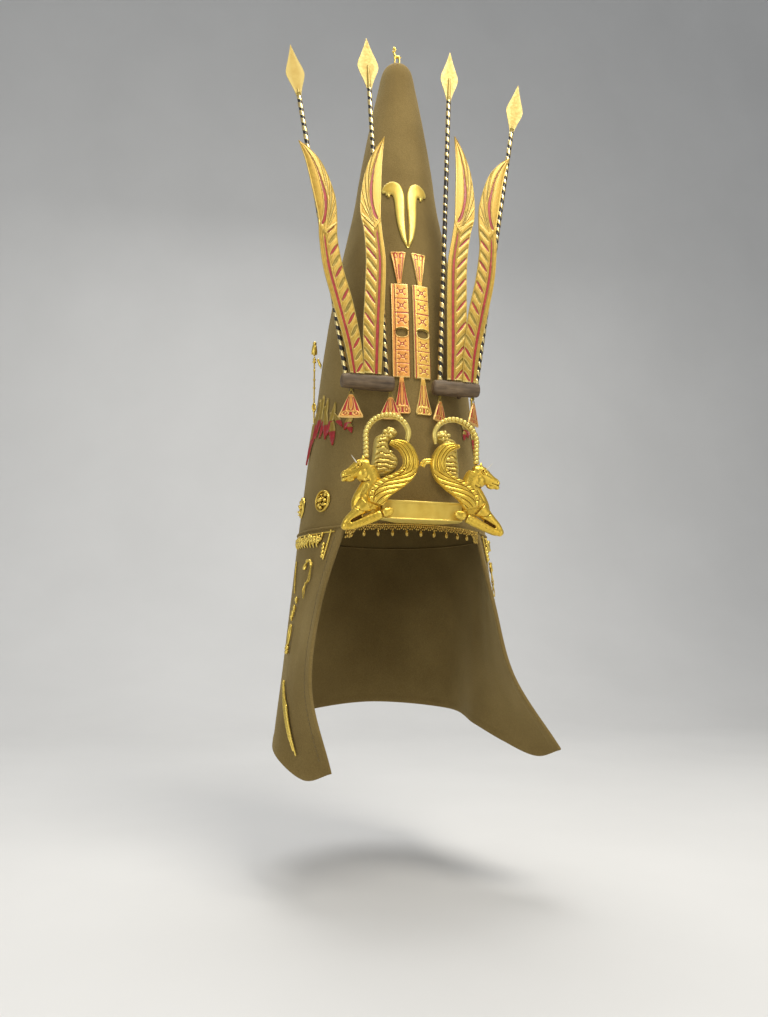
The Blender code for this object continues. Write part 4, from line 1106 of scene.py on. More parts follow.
def ear(word, side):
    """The spike beside the brow, coloured pale as a painted highlight on its gold."""
    base = mm(side * 53.8, -HORSE_MIDDLE / MM - 2.6, 44.8)
    s = np.linspace(0, 1, 9)[:, None]
    path = base + s * mm(side * 5.4, -2.4, 6.4)
    return piece("ear_spike_" + word, Heap().add(*tube(path, (0.72 - 0.58 * s[:, 0]) * MM, sides=10)), EAR_PAINTED_HIGHLIGHT,
                 (f"ear_{word}",))


# Bars and what stands on them or hangs from them
def bar(word, side):
    """A hand-carved wooden bar with softly faceted sides."""
    seat = bar_seat(word)
    rows = np.array(BAR)
    shares = np.r_[0.0, 0.006, 0.015, 0.03, np.linspace(0.05, 0.95, 90), 0.97, 0.985, 0.994, 1.0]
    table = spline(rows, np.interp(shares, rows[:, 0], np.arange(len(rows))))
    tall = np.minimum(table[:, 1], 1.0) * BAR_HEIGHT / 2
    deep = np.minimum(table[:, 2], 1.0) * BAR_DEPTH / 2
    fade = np.sqrt(np.clip(1 - (1 - np.clip(np.minimum(shares, 1 - shares) / 0.03, 0, 1)) ** 2, 0.05, 1))
    turns = circle(48)
    rings = []
    for share, h, w, f in zip(shares, tall, deep, fade):
        x = along_bar(word, share)
        shape = (np.abs(np.cos(turns)) ** 2.6 + np.abs(np.sin(turns)) ** 2.6) ** (-1 / 2.6)
        chip = (1 - 0.035 * (0.5 + 0.5 * np.sin(turns * 5 + share * 9))
                - 0.03 * (0.5 + 0.5 * np.sin(share * 31 + turns * 2)))
        size = f * chip
        ring = np.stack([0 * turns + side * x, -seat + np.cos(turns) * shape * w * size * 0.93,
                         BAR_MIDDLE + np.sin(turns) * shape * h * size * 0.96], 1)
        rings.append(ring)
    heap = Heap().add(*closed(rings))
    place = along_bar(word, 0.72)
    back = float(crown_front(place - 0.002, BAR_MIDDLE - 0.002)) + GAP
    heap.add(*tube([(side * place, -seat, BAR_MIDDLE), (side * place, -back, BAR_MIDDLE)], 0.0020, sides=16))
    return piece("bar_wood_" + word, heap, WOOD, (f"bar_{word}",), sharp=60)


def arrow(number, word, place, lean, length, head_width, open_socket):
    """A dark rod wound with a slanting gold ribbon, tied in the socket of a leaf head."""
    side = dict(SIDES)[word]
    foot = np.array([side * along_bar(word, place), ARROW_BEHIND - bar_seat(word), bar_top(place, 0.0) + GAP])
    toward = unit(np.array([side * lean, ARROW_LEAN_BACK, 1.0]))
    long = ARROW_LENGTH * length - HEAD_LENGTH
    across = unit(np.cross(toward, (0.0, 1.0, 0.0)))
    out = np.cross(across, toward)
    turns = circle(18)
    run = np.linspace(0, long, 480)
    t, r = np.meshgrid(turns, run)
    rise = r / long
    share = 0.60 + 0.10 * step(rise, 0.75, 0.95) - (0.27 if number == 3 else 0.06) * bump_line(rise, 0.58,
                                                                                               0.20)
    phase = (r / 0.0089 - t / (2 * math.pi) + 0.12 * np.sin(r * 95 + number)) % 1.0
    ribbon = step(phase, 0.02, 0.08) * (1 - step(phase, share - 0.06, share))
    radius = ARROW_WIDTH / 2 * (0.86 + 0.14 * ribbon)
    rings = (foot + toward * r[..., None] + across * (np.cos(t) * radius)[..., None]
             + out * (np.sin(t) * radius)[..., None])
    points, faces = closed(rings)
    shaft = Heap().add(points, faces, ribbon.ravel())
    piece(f"shaft_wound_{number}", shaft, WOUND, (f"arrow_{number}",), sharp=60)

    top = foot + toward * long
    leaf = ((0.015, 0.24), (0.06, 0.30), (0.14, 0.44), (0.22, 0.60), (0.35, 0.88), (0.45, 1.00), (0.56, 0.86),
            (0.70, 0.56), (0.85, 0.27), (1.00, 0.015))
    edge = smooth(leaf, 50) * (HEAD_LENGTH, head_width * HEAD_WIDTH / 2)

    def blade(u, s, lift):
        up, wide = columns_at(edge, s)
        return top + toward * up[..., None] + across * ((2 * u - 1) * wide)[..., None] + out * lift[..., None]

    def ridge(u, s):
        off = np.abs(u - 0.5)
        rib = bump_line(off, 0.0, 0.035) * 0.0005 * step(s, 0.05, 0.3) * (1 - step(s, 0.9, 1.0))
        rim = bump_line(off, 0.46, 0.03) * 0.00025
        return rib + rim + (0.5 - off) * 0.0009

    flat = Heap()
    flat.add(*slab(blade, ridge, 0.0009, 33, 110, round_edge=0.06)[:2])
    s = np.linspace(0, 1, 24)
    reach = 0.46 if open_socket else 0.16
    wide = (1.95 - 0.75 * s ** 2.2 if open_socket else 1.75 - 0.9 * s) * MM
    socket = top + toward * (GAP + reach * HEAD_LENGTH * s[:, None])
    flat.add(*tube(socket, wide, sides=18))
    for k in (0.02, 0.055):
        flat.add(*tube([top + toward * (k * HEAD_LENGTH + GAP + d) for d in (0, 0.0006, 0.0012)],
                       mm(1.8, 2.25, 1.8), sides=16))
    return piece(f"leaf_head_{number}", flat, BLADE, (f"arrowhead_{number}",), sharp=50)


def feather(number, word, kind, place, lean, length, tie):
    """A tall sheet-gold feather: smooth spine band, red stem, slanting barbs, V tie, sabre blade."""
    side = dict(SIDES)[word]
    spine_side = side if kind == "outer" else -side
    foot_x = side * along_bar(word, place)
    forward = FEATHER_FORWARD + (FEATHER_THICK + GAP if kind == "outer" else 0.0)
    foot_z = bar_top(place, forward - FEATHER_THICK / 2) + GAP
    rows = smooth(FEATHERS[kind], 300)
    tall = FEATHER_LENGTH * length

    def where(u, s, lift):
        share, offset, width = columns_at(rows, s)
        z = foot_z + share * tall
        spine = foot_x + side * (offset + lean * share) * FEATHER_LENGTH
        x = spine - spine_side * width * FEATHER_WIDTH * u
        y = -bar_seat(word) - forward + FEATHER_LEAN_BACK * (z - foot_z)
        bow = np.sin(np.pi * np.clip(u, 0, 1)) * 0.0004
        return np.stack([x, y - lift - bow, z], -1)

    def fields(u, s):
        share, _, wide = columns_at(rows * (1, 1, FEATHER_WIDTH), s)
        point = 0.37
        dip = tie - 0.022 + np.where(u < point, 0.040 * (point - u) / point,
                                     0.050 * (u - point) / (1 - point))
        above = (share - dip) * tall
        blade = step(above, -0.0003, 0.0003)
        band = np.where(u < point, 0.0021, 0.0021 - 0.0014 * (u - point) / (1 - point))
        knot = step(band - np.abs(above), -0.0002, 0.0003)

        # lower half: spine band, stem, barbs
        turn = (share * tall - (u * wide - 0.42 * wide) * 1.35) / 0.0108
        near = np.abs(turn - np.round(turn))
        lens = 0.180 * np.sin(math.pi * np.clip((u - 0.45) / 0.52, 0, 1)) ** 0.55
        barb = (u > 0.45) & (u < 0.97) & (near < lens)
        stem = 0.046 + 0.034 * (1 - share / tie)
        in_stem = np.abs(u - 0.300) < stem * step(-above, 0.002, 0.010)
        low = (0.42 * half_round((u - 0.115) / 0.11)
               + 0.42 * (bump_line(u, 0.205, 0.018) + bump_line(u, 0.405, 0.024)) - 0.15 * in_stem
               + step(u, 0.42, 0.46) * (0.36 + 0.22 * np.cos(2 * math.pi * near) * -1)
               - 0.30 * barb + 0.25 * bump_line(near, lens + 0.05, 0.05) * (u > 0.45))
        # Every other barb groove is red; the rest get a half mark, painted olive shadow of the deep grooves.
        low_red_and_shadow = np.where(in_stem, 1.0, np.where(barb, np.where(np.round(turn) % 2 == 0, 1.0, 0.5), 0.0))

        # blade: plain sabre, red line, ridges that fan toward the barbs' edge
        q = np.clip((share - dip) / (1 - dip), 0, 1)
        swing = 0.13 + 0.40 * np.sin(math.pi / 2 * np.clip(q / 0.42, 0, 1)) - 0.07 * step(q, 0.6, 1.0)
        half = (0.016 + 0.058 * bump_line(q, 0.30, 0.26)) * (1 - step(q, 0.88, 0.94)) * step(q, 0.015, 0.06)
        lines = bump_line(u, swing + half + 0.045, 0.026) + 0.7 * bump_line(u, swing - half - 0.03, 0.02)
        # dark: thin painted olive shade in the groove beside each ridge line of the blade.
        dark = np.zeros(u.shape)
        for reach in (1.02, 0.60, 0.34, 0.17):
            at = 0.24 + 0.78 * (q / reach) ** 0.72
            lines = np.maximum(lines, bump_line(u, at, 0.028) * (at > swing + half + 0.04))
            thin = 0.028 * np.sin(math.pi * np.clip(q / reach / 0.86, 0, 1)) ** 0.7
            dark = np.maximum(dark, (np.abs(u - at - 0.065) < thin) * (at > swing + half + 0.02) * (u < 0.95))
        high = (0.42 * half_round((u - swing * 0.5) / (swing * 0.5)) * (u < swing - half)
                + 0.42 * lines * (1 - step(q, 0.93, 0.99)) + 0.16 * (u > swing + half)
                - 0.15 * (np.abs(u - swing) < half) - 0.12 * dark)
        high_red_and_shadow = np.where(np.abs(u - swing) < half, 1.0, 0.5 * dark * (q < 0.9))
        rim = 0.34 * (bump_line(u, 0.0, 0.035) + bump_line(u, 1.0, 0.030))
        form = ((low * (1 - blade) + high * blade) * (1 - knot)
                + knot * (0.50 + 0.22 * bump_line(np.abs(above), band, 0.0006)) + rim)
        red = (low_red_and_shadow * (1 - blade) + high_red_and_shadow * blade) * (knot < 0.5)
        return form * 0.001, red

    points, faces, marks = slab(where, lambda u, s: fields(u, s)[0], 0.0010, 66, 370,
                                red=lambda u, s: fields(u, s)[1], round_edge=0.03)
    return piece(f"feather_plate_{number}", Heap().add(points, faces, marks), ENAMEL,
                 (f"feather_{number}",), sharp=50)


def bell(u, s, level=0.42):
    """Relief and red fields of a bell-shaped plate: across and down shares, height up to which it is red."""
    c = 2 * u - 1
    rim = np.maximum(bump_line(np.abs(c), 0.92, 0.09), bump_line(s, 0.97, 0.03))
    drop_half = 0.30 * np.sin(np.clip(s / 0.74, 0, 1) * math.pi) ** 0.8
    drop = (np.abs(c) < drop_half) * (s < 0.72)
    curl = scrolls(c, s)
    raised = np.clip(np.maximum.reduce([rim, drop * 0.9, curl, bump_line(np.abs(c), 0.50, 0.08) * (s < 0.74),
                                        1 - step(s, 0.08, 0.20)]), 0, 1)
    field = ((np.abs(np.abs(c) - 0.70) < 0.14 + 0.06 * s)
             | ((np.abs(c) > drop_half) & (np.abs(c) < drop_half + 0.14)))
    red = (field & (s < 0.74)) | ((s >= 0.74) & (raised < 0.30))
    return raised, (red & (raised < level)).astype(float)


def scrolls(c, s):
    """A pair of volutes across the wide end."""
    curl = bump_line(s, 0.76, 0.028) * (np.abs(c) < 0.30)
    for way in (-1, 1):
        far = np.hypot((c - way * 0.48) * 0.9, (s - 0.86) * 2.4)
        curl = np.maximum(curl, bump_line(far, 0.25, 0.075) * (s > 0.72))
        curl = np.maximum(curl, bump_line(far, 0.0, 0.09))
    return curl


def rays(u, s):
    """Relief and red lines of a fan: borders and ribs that run together, volutes at the wide end."""
    c = 2 * u - 1
    raised = np.maximum(bump_line(np.abs(c), 0.90, 0.10), bump_line(np.abs(c), 0.40, 0.11))
    line = (np.abs(np.abs(c) - 0.66) < 0.06) | ((np.abs(c) < 0.15) & (s < 0.60))
    ring = (np.abs(np.hypot((np.abs(c) - 0.40) * 0.9, (s - 0.87) * 2.6) - 0.22) < 0.06) & (s > 0.78)
    red = (line & (s > 0.12) & (s < 0.80)) | ring
    return np.maximum(raised * (1 - 0.6 * step(s, 0.78, 0.84)),
                      0.8 * bump_line(s, 0.97, 0.03)), red.astype(float)


def pendant(number, word, place, size, degrees):
    """A bell-shaped enamelled drop on a wire loop under its bar."""
    side = dict(SIDES)[word]
    seat = bar_seat(word)
    middle = side * along_bar(word, place)
    top = BAR_MIDDLE - (bar_top(place, 0.0) - BAR_MIDDLE) - GAP
    turn = side * math.radians(degrees)
    tall, wide = PENDANT_HEIGHT * size, PENDANT_WIDTH * size / 2
    profile = ((0.20, 0.13), (0.34, 0.34), (0.55, 0.58), (0.78, 0.82), (0.92, 0.99), (1.00, 1.00))
    edge = smooth(profile, 60)

    def where(u, s, lift):
        down, half = columns_at(edge, s)
        half = half * wide
        across = (2 * u - 1) * half
        sag = 0.0006 * np.sin(s * math.pi / 2) * (1 - (2 * u - 1) ** 2)
        return np.stack([middle + across * math.cos(turn) + lift * math.sin(turn),
                         -seat + across * math.sin(turn) - lift * math.cos(turn),
                         top - down * tall - sag * (s > 0.98)], -1)

    heap = Heap()
    points, faces, marks = slab(where, lambda u, s: 0.00045 * bell(u, s)[0], 0.0010, 50, 76,
                                red=lambda u, s: bell(u, s, 0.74)[1], round_edge=0.05)
    heap.add(points, faces, marks)
    hook = np.array([middle, -seat, top + 0.0004])
    for way in (-1, 1):
        low = np.array([middle + way * wide * 0.30 * math.cos(turn),
                        -seat + way * wide * 0.30 * math.sin(turn) - 0.0004,
                        top - tall * 0.36])
        heap.add(*tube([hook, hook + (low - hook) * 0.5 + np.array([way * 0.0003, 0, 0]), low], 0.00042,
                       sides=8), 0.5)
    ring = [hook + np.array([math.cos(t) * 0.0010, 0, math.sin(t) * 0.0010 - 0.0010])
            for t in np.linspace(0, 2 * math.pi, 17)]
    heap.add(*tube(ring, 0.00036, sides=7, ends=False), 0.5)
    return piece(f"drop_enamel_{number}", heap, EMBER, (f"pendant_{number}",), sharp=50)


# Plates on the crown's front
def on_front(side):
    """Placing function for plates that follow the crown's front."""
    def place(x, z, lift):
        return crown_point(facing(side * x, z), z, GAP + lift)
    return place


def strip(word, side):
    """The ladder strip: fan, plate with six starred squares and an oval hole, splayed foot."""
    top = STRIP_LOW + STRIP_LENGTH
    place = on_front(side)
    half = STRIP_WIDTH / 2
    centre = STRIP_LOW + STRIP_LENGTH / 2
    turns = circle(48)
    oval = [np.sign(w) * np.abs(w) ** 0.75 for w in (np.cos(turns), np.sin(turns))]
    middle = centre - HOLE_DROP
    hole = np.stack([STRIP_MIDDLE + side * 0.0009 + 0.0052 * oval[0], middle + 0.0041 * oval[1]], 1)
    box = [(STRIP_MIDDLE - half, STRIP_LOW), (STRIP_MIDDLE + half, STRIP_LOW), (STRIP_MIDDLE + half, top),
           (STRIP_MIDDLE - half, top)]
    outline = []
    for k, (x, z) in enumerate(box):
        nx, nz = box[(k + 1) % 4]
        steps = 20 if abs(nz - z) < 1e-9 else 120
        outline += [(x + (nx - x) * j / steps, z + (nz - z) * j / steps) for j in range(steps)]

    def squares(x, z):
        """Places inside the starred squares: across, up, and which places lie in one."""
        reach = np.where(z > middle, z - middle, middle - z) - 0.0050
        cell = (np.where(z > middle, top - middle, middle - STRIP_LOW) - 0.0058) / 3
        n = reach / cell
        return side * (x - STRIP_MIDDLE) / half, (n - np.floor(n)) * 2 - 1, (reach > 0) & (n < 3), n

    def motif(x, z):
        c, v, within, n = squares(x, z)
        band = (np.abs(c + 0.80) < 0.07) if side > 0 else (np.abs(c + 0.66) < 0.045)
        edge = band | ((c > 0.93) & (z < middle + 0.012))
        bars = (np.minimum(np.abs(n - 1), np.abs(n - 2)) < 0.035) & within & (c > -0.62)
        a, b = (c - 0.14) / 0.66, v / 0.66
        far = np.hypot(a, b)
        fork = np.abs(np.abs(a) - np.abs(b)) - 0.75 * np.clip(far - 0.72, 0, 1)
        star = (np.abs(fork) < 0.11) & (far > 0.30) & (far < 1.06)
        ring = np.abs(far - 0.27) < 0.10
        # Painted shadow: an olive crescent along the hole's upper edge, where its rim casts shade.
        shade = 0.5 * (edge_distance(np.stack([x, z], 1), [hole]) < 0.0011) * (z > middle + 0.0012)
        return np.maximum((edge | bars | (within & (star | ring))).astype(float), shade)

    def height(x, z, rim):
        c = squares(x, z)[0]
        rows = bump_line(c, -0.96, 0.05) + bump_line(c, -0.56 if side > 0 else -0.50, 0.06)
        lip = 0.0004 * bump_line(edge_distance(np.stack([x, z], 1), [hole]), 0.0006, 0.0005)
        return -0.00022 * motif(x, z) + lip + 0.00018 + 0.00022 * rows

    heap = Heap().add(*cut_plate(outline, place, height, STRIP_THICK - 0.0002, 0.00042, holes=(hole,),
                                 red=lambda x, z, rim: motif(x, z)))
    enamel = EMBER if side < 0 else AMBER
    piece("strip_ladder_" + word, heap, enamel, (f"strip_plate_{word}",), sharp=50)

    def flared(label, z_narrow, z_wide, profile, relief, node):
        edge = smooth(profile, 40)

        def where(u, s, lift):
            share, wide = columns_at(edge, s)
            z = z_narrow + (z_wide - z_narrow) * share
            x = STRIP_MIDDLE + (2 * u - 1) * wide * STRIP_WIDTH
            return crown_point(facing(side * x, z), z, GAP + STRIP_THICK / 2 + lift)

        points, faces, marks = slab(where, lambda u, s: 0.0004 * relief(u, s)[0] - 0.0001,
                                    STRIP_THICK - 0.0002, 56, 96,
                                    red=lambda u, s: relief(u, s)[1], round_edge=0.05)
        piece(label + word, Heap().add(points, faces, marks), enamel, (node,), sharp=50)

    flared("fan_", top + GAP, top + GAP + FAN_HEIGHT,
           ((0, 0.12), (0.3, 0.22), (0.7, 0.35), (0.96, 0.46), (1, 0.455)),
           rays, f"strip_fan_{word}")
    flared("foot_", STRIP_LOW - GAP, STRIP_LOW - GAP - FOOT_HEIGHT,
           ((0, 0.11), (0.3, 0.20), (0.6, 0.32), (0.88, 0.47),
                                                                     (0.96, 0.46), (1, 0.38)),
           lambda u, s: bell(u, s, 0.62 if side < 0 else 0.16), f"strip_foot_{word}")


# Curved plate outline: across share of its width, height share of its height
TUSK_OUTLINE = (
    (0.05, 0.002), (0.30, 0.060), (0.62, 0.160), (0.92, 0.330), (1.07, 0.510), (1.13, 0.670), (1.24, 0.775),
    (1.40, 0.815), (1.58, 0.806), (1.58, 0.772), (1.80, 0.772), (1.80, 0.806), (1.98, 0.806), (1.98, 0.845),
    (2.22, 0.845), (2.36, 0.872), (2.20, 0.940), (1.88, 0.985), (1.40, 1.015), (0.90, 1.000), (0.48, 0.950),
    (0.20, 0.840), (0.12, 0.720), (0.17, 0.550), (0.19, 0.360), (0.13, 0.180), (0.05, 0.050),
)


def tusk(word, side):
    """A smooth curved plate that hooks outward, with stepped notches at its end."""
    rows = np.array(TUSK_OUTLINE) * (TUSK_WIDTH, TUSK_HEIGHT) + (0, TUSK_LOW)
    corners = range(8, 14)
    outline = []
    for k in range(len(rows)):
        following = rows[(k + 1) % len(rows)]
        if k in corners:
            outline += [rows[k] + (following - rows[k]) * j / 4 for j in range(4)]
        else:
            near = [rows[(k + d) % len(rows)] for d in (-1, 0, 1, 2)]
            if k - 1 in corners:
                near[0] = 2 * near[1] - near[2]
            if (k + 1) % len(rows) in corners:
                near[3] = 2 * near[2] - near[1]
            outline += [spline(near, 1 + j / 8)[0] for j in range(8)]

    def height(x, z, rim):
        return 0.0006 * quarter_round(rim / 0.0035) - 0.0002

    heap = Heap().add(*cut_plate(np.array(outline), on_front(side), height, TUSK_THICK - 0.0002, 0.0008,
                                 round_edge=0.0005))
    return piece("tusk_plate_" + word, heap, POLISHED, (f"tusk_{word}",), sharp=50)


# Round the sides
def boss(number, degrees):
    """A round boss with a rolled rim, rough with high relief."""
    turn = math.radians(degrees)
    centre = crown_point(turn, BOSS_LEVEL, GAP)
    normal = unit(crown_point(turn, BOSS_LEVEL, 0.01) - centre)
    level = unit(np.cross((0.0, 0.0, 1.0), normal))
    upright = np.cross(normal, level)
    radii = np.r_[0.0, np.linspace(0.02, 1, 46)][::-1]
    turns = circle(96)
    t, r = np.meshgrid(turns, radii)
    rim = 0.42 * half_round((r - 0.90) / 0.10) * (0.75 + 0.25 * np.cos(t - 0.9))
    lumps = np.zeros(t.shape)
    for k in range(13):
        around, far = k * 2.4 + number, 0.10 + 0.62 * math.sqrt(k / 12)
        gap = np.hypot(r * np.cos(t) - far * math.cos(around), r * np.sin(t) - far * math.sin(around))
        size = 0.15 + 0.07 * math.sin(k * 1.9 + number)
        lumps = np.maximum(lumps, (0.60 + 0.22 * math.cos(k * 2.7)) * half_round(gap / size))
    lift = 0.10 + 0.10 * (1 - r) + rim + lumps
    lift = np.minimum(lift, 1.0) * BOSS_HEIGHT * np.clip((1.0 - r) / 0.02 + 0.2, 0, 1)
    out = r[..., None] * BOSS_WIDTH / 2
    outward = level * np.cos(t)[..., None] + upright * np.sin(t)[..., None]
    top = centre + normal * lift[..., None] + outward * out
    base = centre + (level * np.cos(turns)[:, None] + upright * np.sin(turns)[:, None]) * BOSS_WIDTH / 2
    heap = Heap().add(*closed(np.concatenate([base[None], top])))
    return piece(f"boss_round_{number}", heap, FINE_GOLD, (f"boss_{number}",), sharp=60)


# Mountain leaves: turn and share of height of the foot and the tip, half-width in millimetres
LEAVES = (
    (91.0, -0.95, 87.0, 0.30, 4.2), (86.5, -0.80, 80.0, 0.55, 4.2), (81.0, -0.40, 76.0, 0.95, 4.0),
    (75.5, -0.30, 70.2, 1.00, 4.2), (69.0, -0.35, 64.2, 0.84, 3.6), (61.4, -0.46, 66.5, 0.62, 3.6),
    (53.6, -0.70, 59.0, 0.34, 4.0), (60.0, -0.35, 55.2, 0.64, 3.2), (47.0, -0.20, 57.0, 0.36, 3.2),
    (45.0, -0.30, 40.0, 0.20, 3.4), (39.5, -0.42, 44.0, 0.02, 2.8),
)


def peaks(word, side):
    """A row of spear leaves like a mountain range, dull gold above and red below."""
    heap = Heap()
    for k, (foot_turn, foot_up, tip_turn, tip_up, half) in enumerate(LEAVES):
        ends = [np.array([side * math.radians(t), PEAKS_LEVEL + u * PEAKS_HEIGHT])
                for t, u in ((foot_turn, foot_up), (tip_turn, tip_up))]
        wide = half * MM / float(crown_half(PEAKS_LEVEL)[0])
        base = 0.0003 * (k % 2)

        def where(u, s, lift):
            middle = ends[0] + (ends[1] - ends[0]) * s[..., None]
            swell = np.sin(np.pi * np.clip(s, 0.01, 0.99)) ** 0.75 * (1.1 - 0.35 * np.abs(s - 0.45))
            turn = middle[..., 0] + (2 * u - 1) * wide * swell
            return crown_point(turn, middle[..., 1], GAP + 0.0005 + base + lift)

        points, faces, marks = slab(where, lambda u, s: 0.0009 * (1 - np.abs(2 * u - 1)), 0.0008, 13, 26,
                                    red=lambda u, s: np.where(s < 0.44, 1.0, 0.32), round_edge=0.1)
        heap.add(points, faces, marks)
    return piece("mountain_leaves_" + word, heap, ENAMEL, (f"peaks_{word}",), sharp=50)


def tree(word, side):
    """The thin side tree: a rod with knots, beads and a bird."""
    turn = side * math.radians(86)
    foot = crown_point(turn, TREE_LOW, GAP + TREE_WIDTH * 0.35)
    rise = np.array([side * 0.02, 0.0, 1.0]) * TREE_HEIGHT
    heap = Heap().add(*tube([foot + rise * s for s in np.linspace(0, 0.80, 20)], 0.00075, sides=10))
    for share, wide, tall in ((0.14, 1.3, 1.1), (0.23, 1.2, 1.0), (0.42, 1.35, 1.1), (0.52, 1.35, 1.1),
                              (0.63, 1.1, 1.8),
                              (0.735, 1.9, 1.4), (0.765, 1.7, 1.2)):
        heap.add(*ball(foot + rise * share, mm(wide, wide, tall)))
    knot = [foot + rise * 0.185 + np.array([math.cos(t) * 0.0016, -0.0006, math.sin(t) * 0.0034])
            for t in np.linspace(0, 2 * math.pi, 21)]
    heap.add(*tube(knot, 0.0007, sides=8, ends=False))
    berry = foot + rise * 0.755 + np.array([-side * 0.0034, -0.0012, 0.0])
    heap.add(*ball(berry, 0.0014))
    heap.add(*tube([berry, berry + np.array([-side * 0.0022, -0.0006, -0.0050]),
                    berry + np.array([-side * 0.0030, -0.0008, -0.0085])],
                   (0.0012, 0.0015, 0.0002)))
    body = foot + rise * 0.885
    heap.add(*ball(body, mm(2.5, 2.6, 6.4), 0, 13, 20))
    heap.add(*ball(body + np.array([0, -0.0008, 0.0058]), mm(1.9, 2.0, 2.0), 0, 9, 14))
    heap.add(*tube([body + np.array([0, -0.0026, 0.0060]), body + np.array([0, -0.0050, 0.0052])],
                   (0.0008, 0.0001)))
    for way in (-1, 1):
        heap.add(*ball(body + np.array([way * 0.0016, 0.0004, -0.0004]), mm(1.1, 1.9, 4.8), way * 0.15, 9,
                       14))
    return piece("bird_tree_" + word, heap, FINE_GOLD, (f"tree_{word}",))


def brow_trim():
    """Scalloped beadwork under the brow edge, a row of pearl drops and bead clusters at its corners."""
    heap = Heap()
    ends = np.radians([SKIRT_STATIONS[0][0] + 1, SKIRT_STATIONS[-1][0] + 360 - 1])

    def at(turn, level, lift):
        spot = crown_point(turn, 0.0, lift)
        spot[..., 2] = level
        return spot

    turns = np.linspace(ends[0], ends[1], 300)
    heap.add(*tube(at(turns, np.full(300, 0.0004), 0.0012), 0.0007, sides=8))
    count = 74
    for row, (level, tall) in enumerate(((-0.0012, 1.25), (-0.0031, 1.0))):
        for k in range(count):
            turn = ends[0] + (ends[1] - ends[0]) * (k + 0.5 * row) / (count - 0.5)
            scallop = 0.0006 * math.cos(k * 2 * math.pi / 3)
            heap.add(*ball(at(turn, level + scallop * row, 0.0013), mm(0.85, 0.85, tall),
                           0.35 * math.sin(k * 2.4), 6, 8))
    drops = 11
    for k in range(drops):
        turn = ends[0] + 0.06 + (ends[1] - ends[0] - 0.12) * k / (drops - 1)
        heap.add(*ball(at(turn, -0.0046, 0.0012), 0.0008, 0, 6, 8))
        heap.add(*ball(at(turn, -0.0071, 0.0012), mm(1.55, 1.25, 2.5), 0.1 * math.sin(k * 5), 9, 12))
    for way, end in ((-1, ends[0]), (1, ends[1])):
        for k in range(9):
            turn = end - way * (0.012 + 0.020 * (k % 5))
            level = -0.0050 - 0.0034 * (k // 5) - 0.0005 * (k % 2)
            heap.add(*ball(at(turn, level, 0.0014), mm(0.95, 0.95, 2.0), way * 0.45 - 0.1 * (k % 3), 8, 10))
    return piece("brow_beads", heap, DULL_GOLD, ("brow_trim",))


def flap_at(side, around):
    """Station number on the left flap, or on the right one counted from its own edge."""
    return np.asarray(around, float) if side < 0 else SKIRT_LAST - np.asarray(around, float)


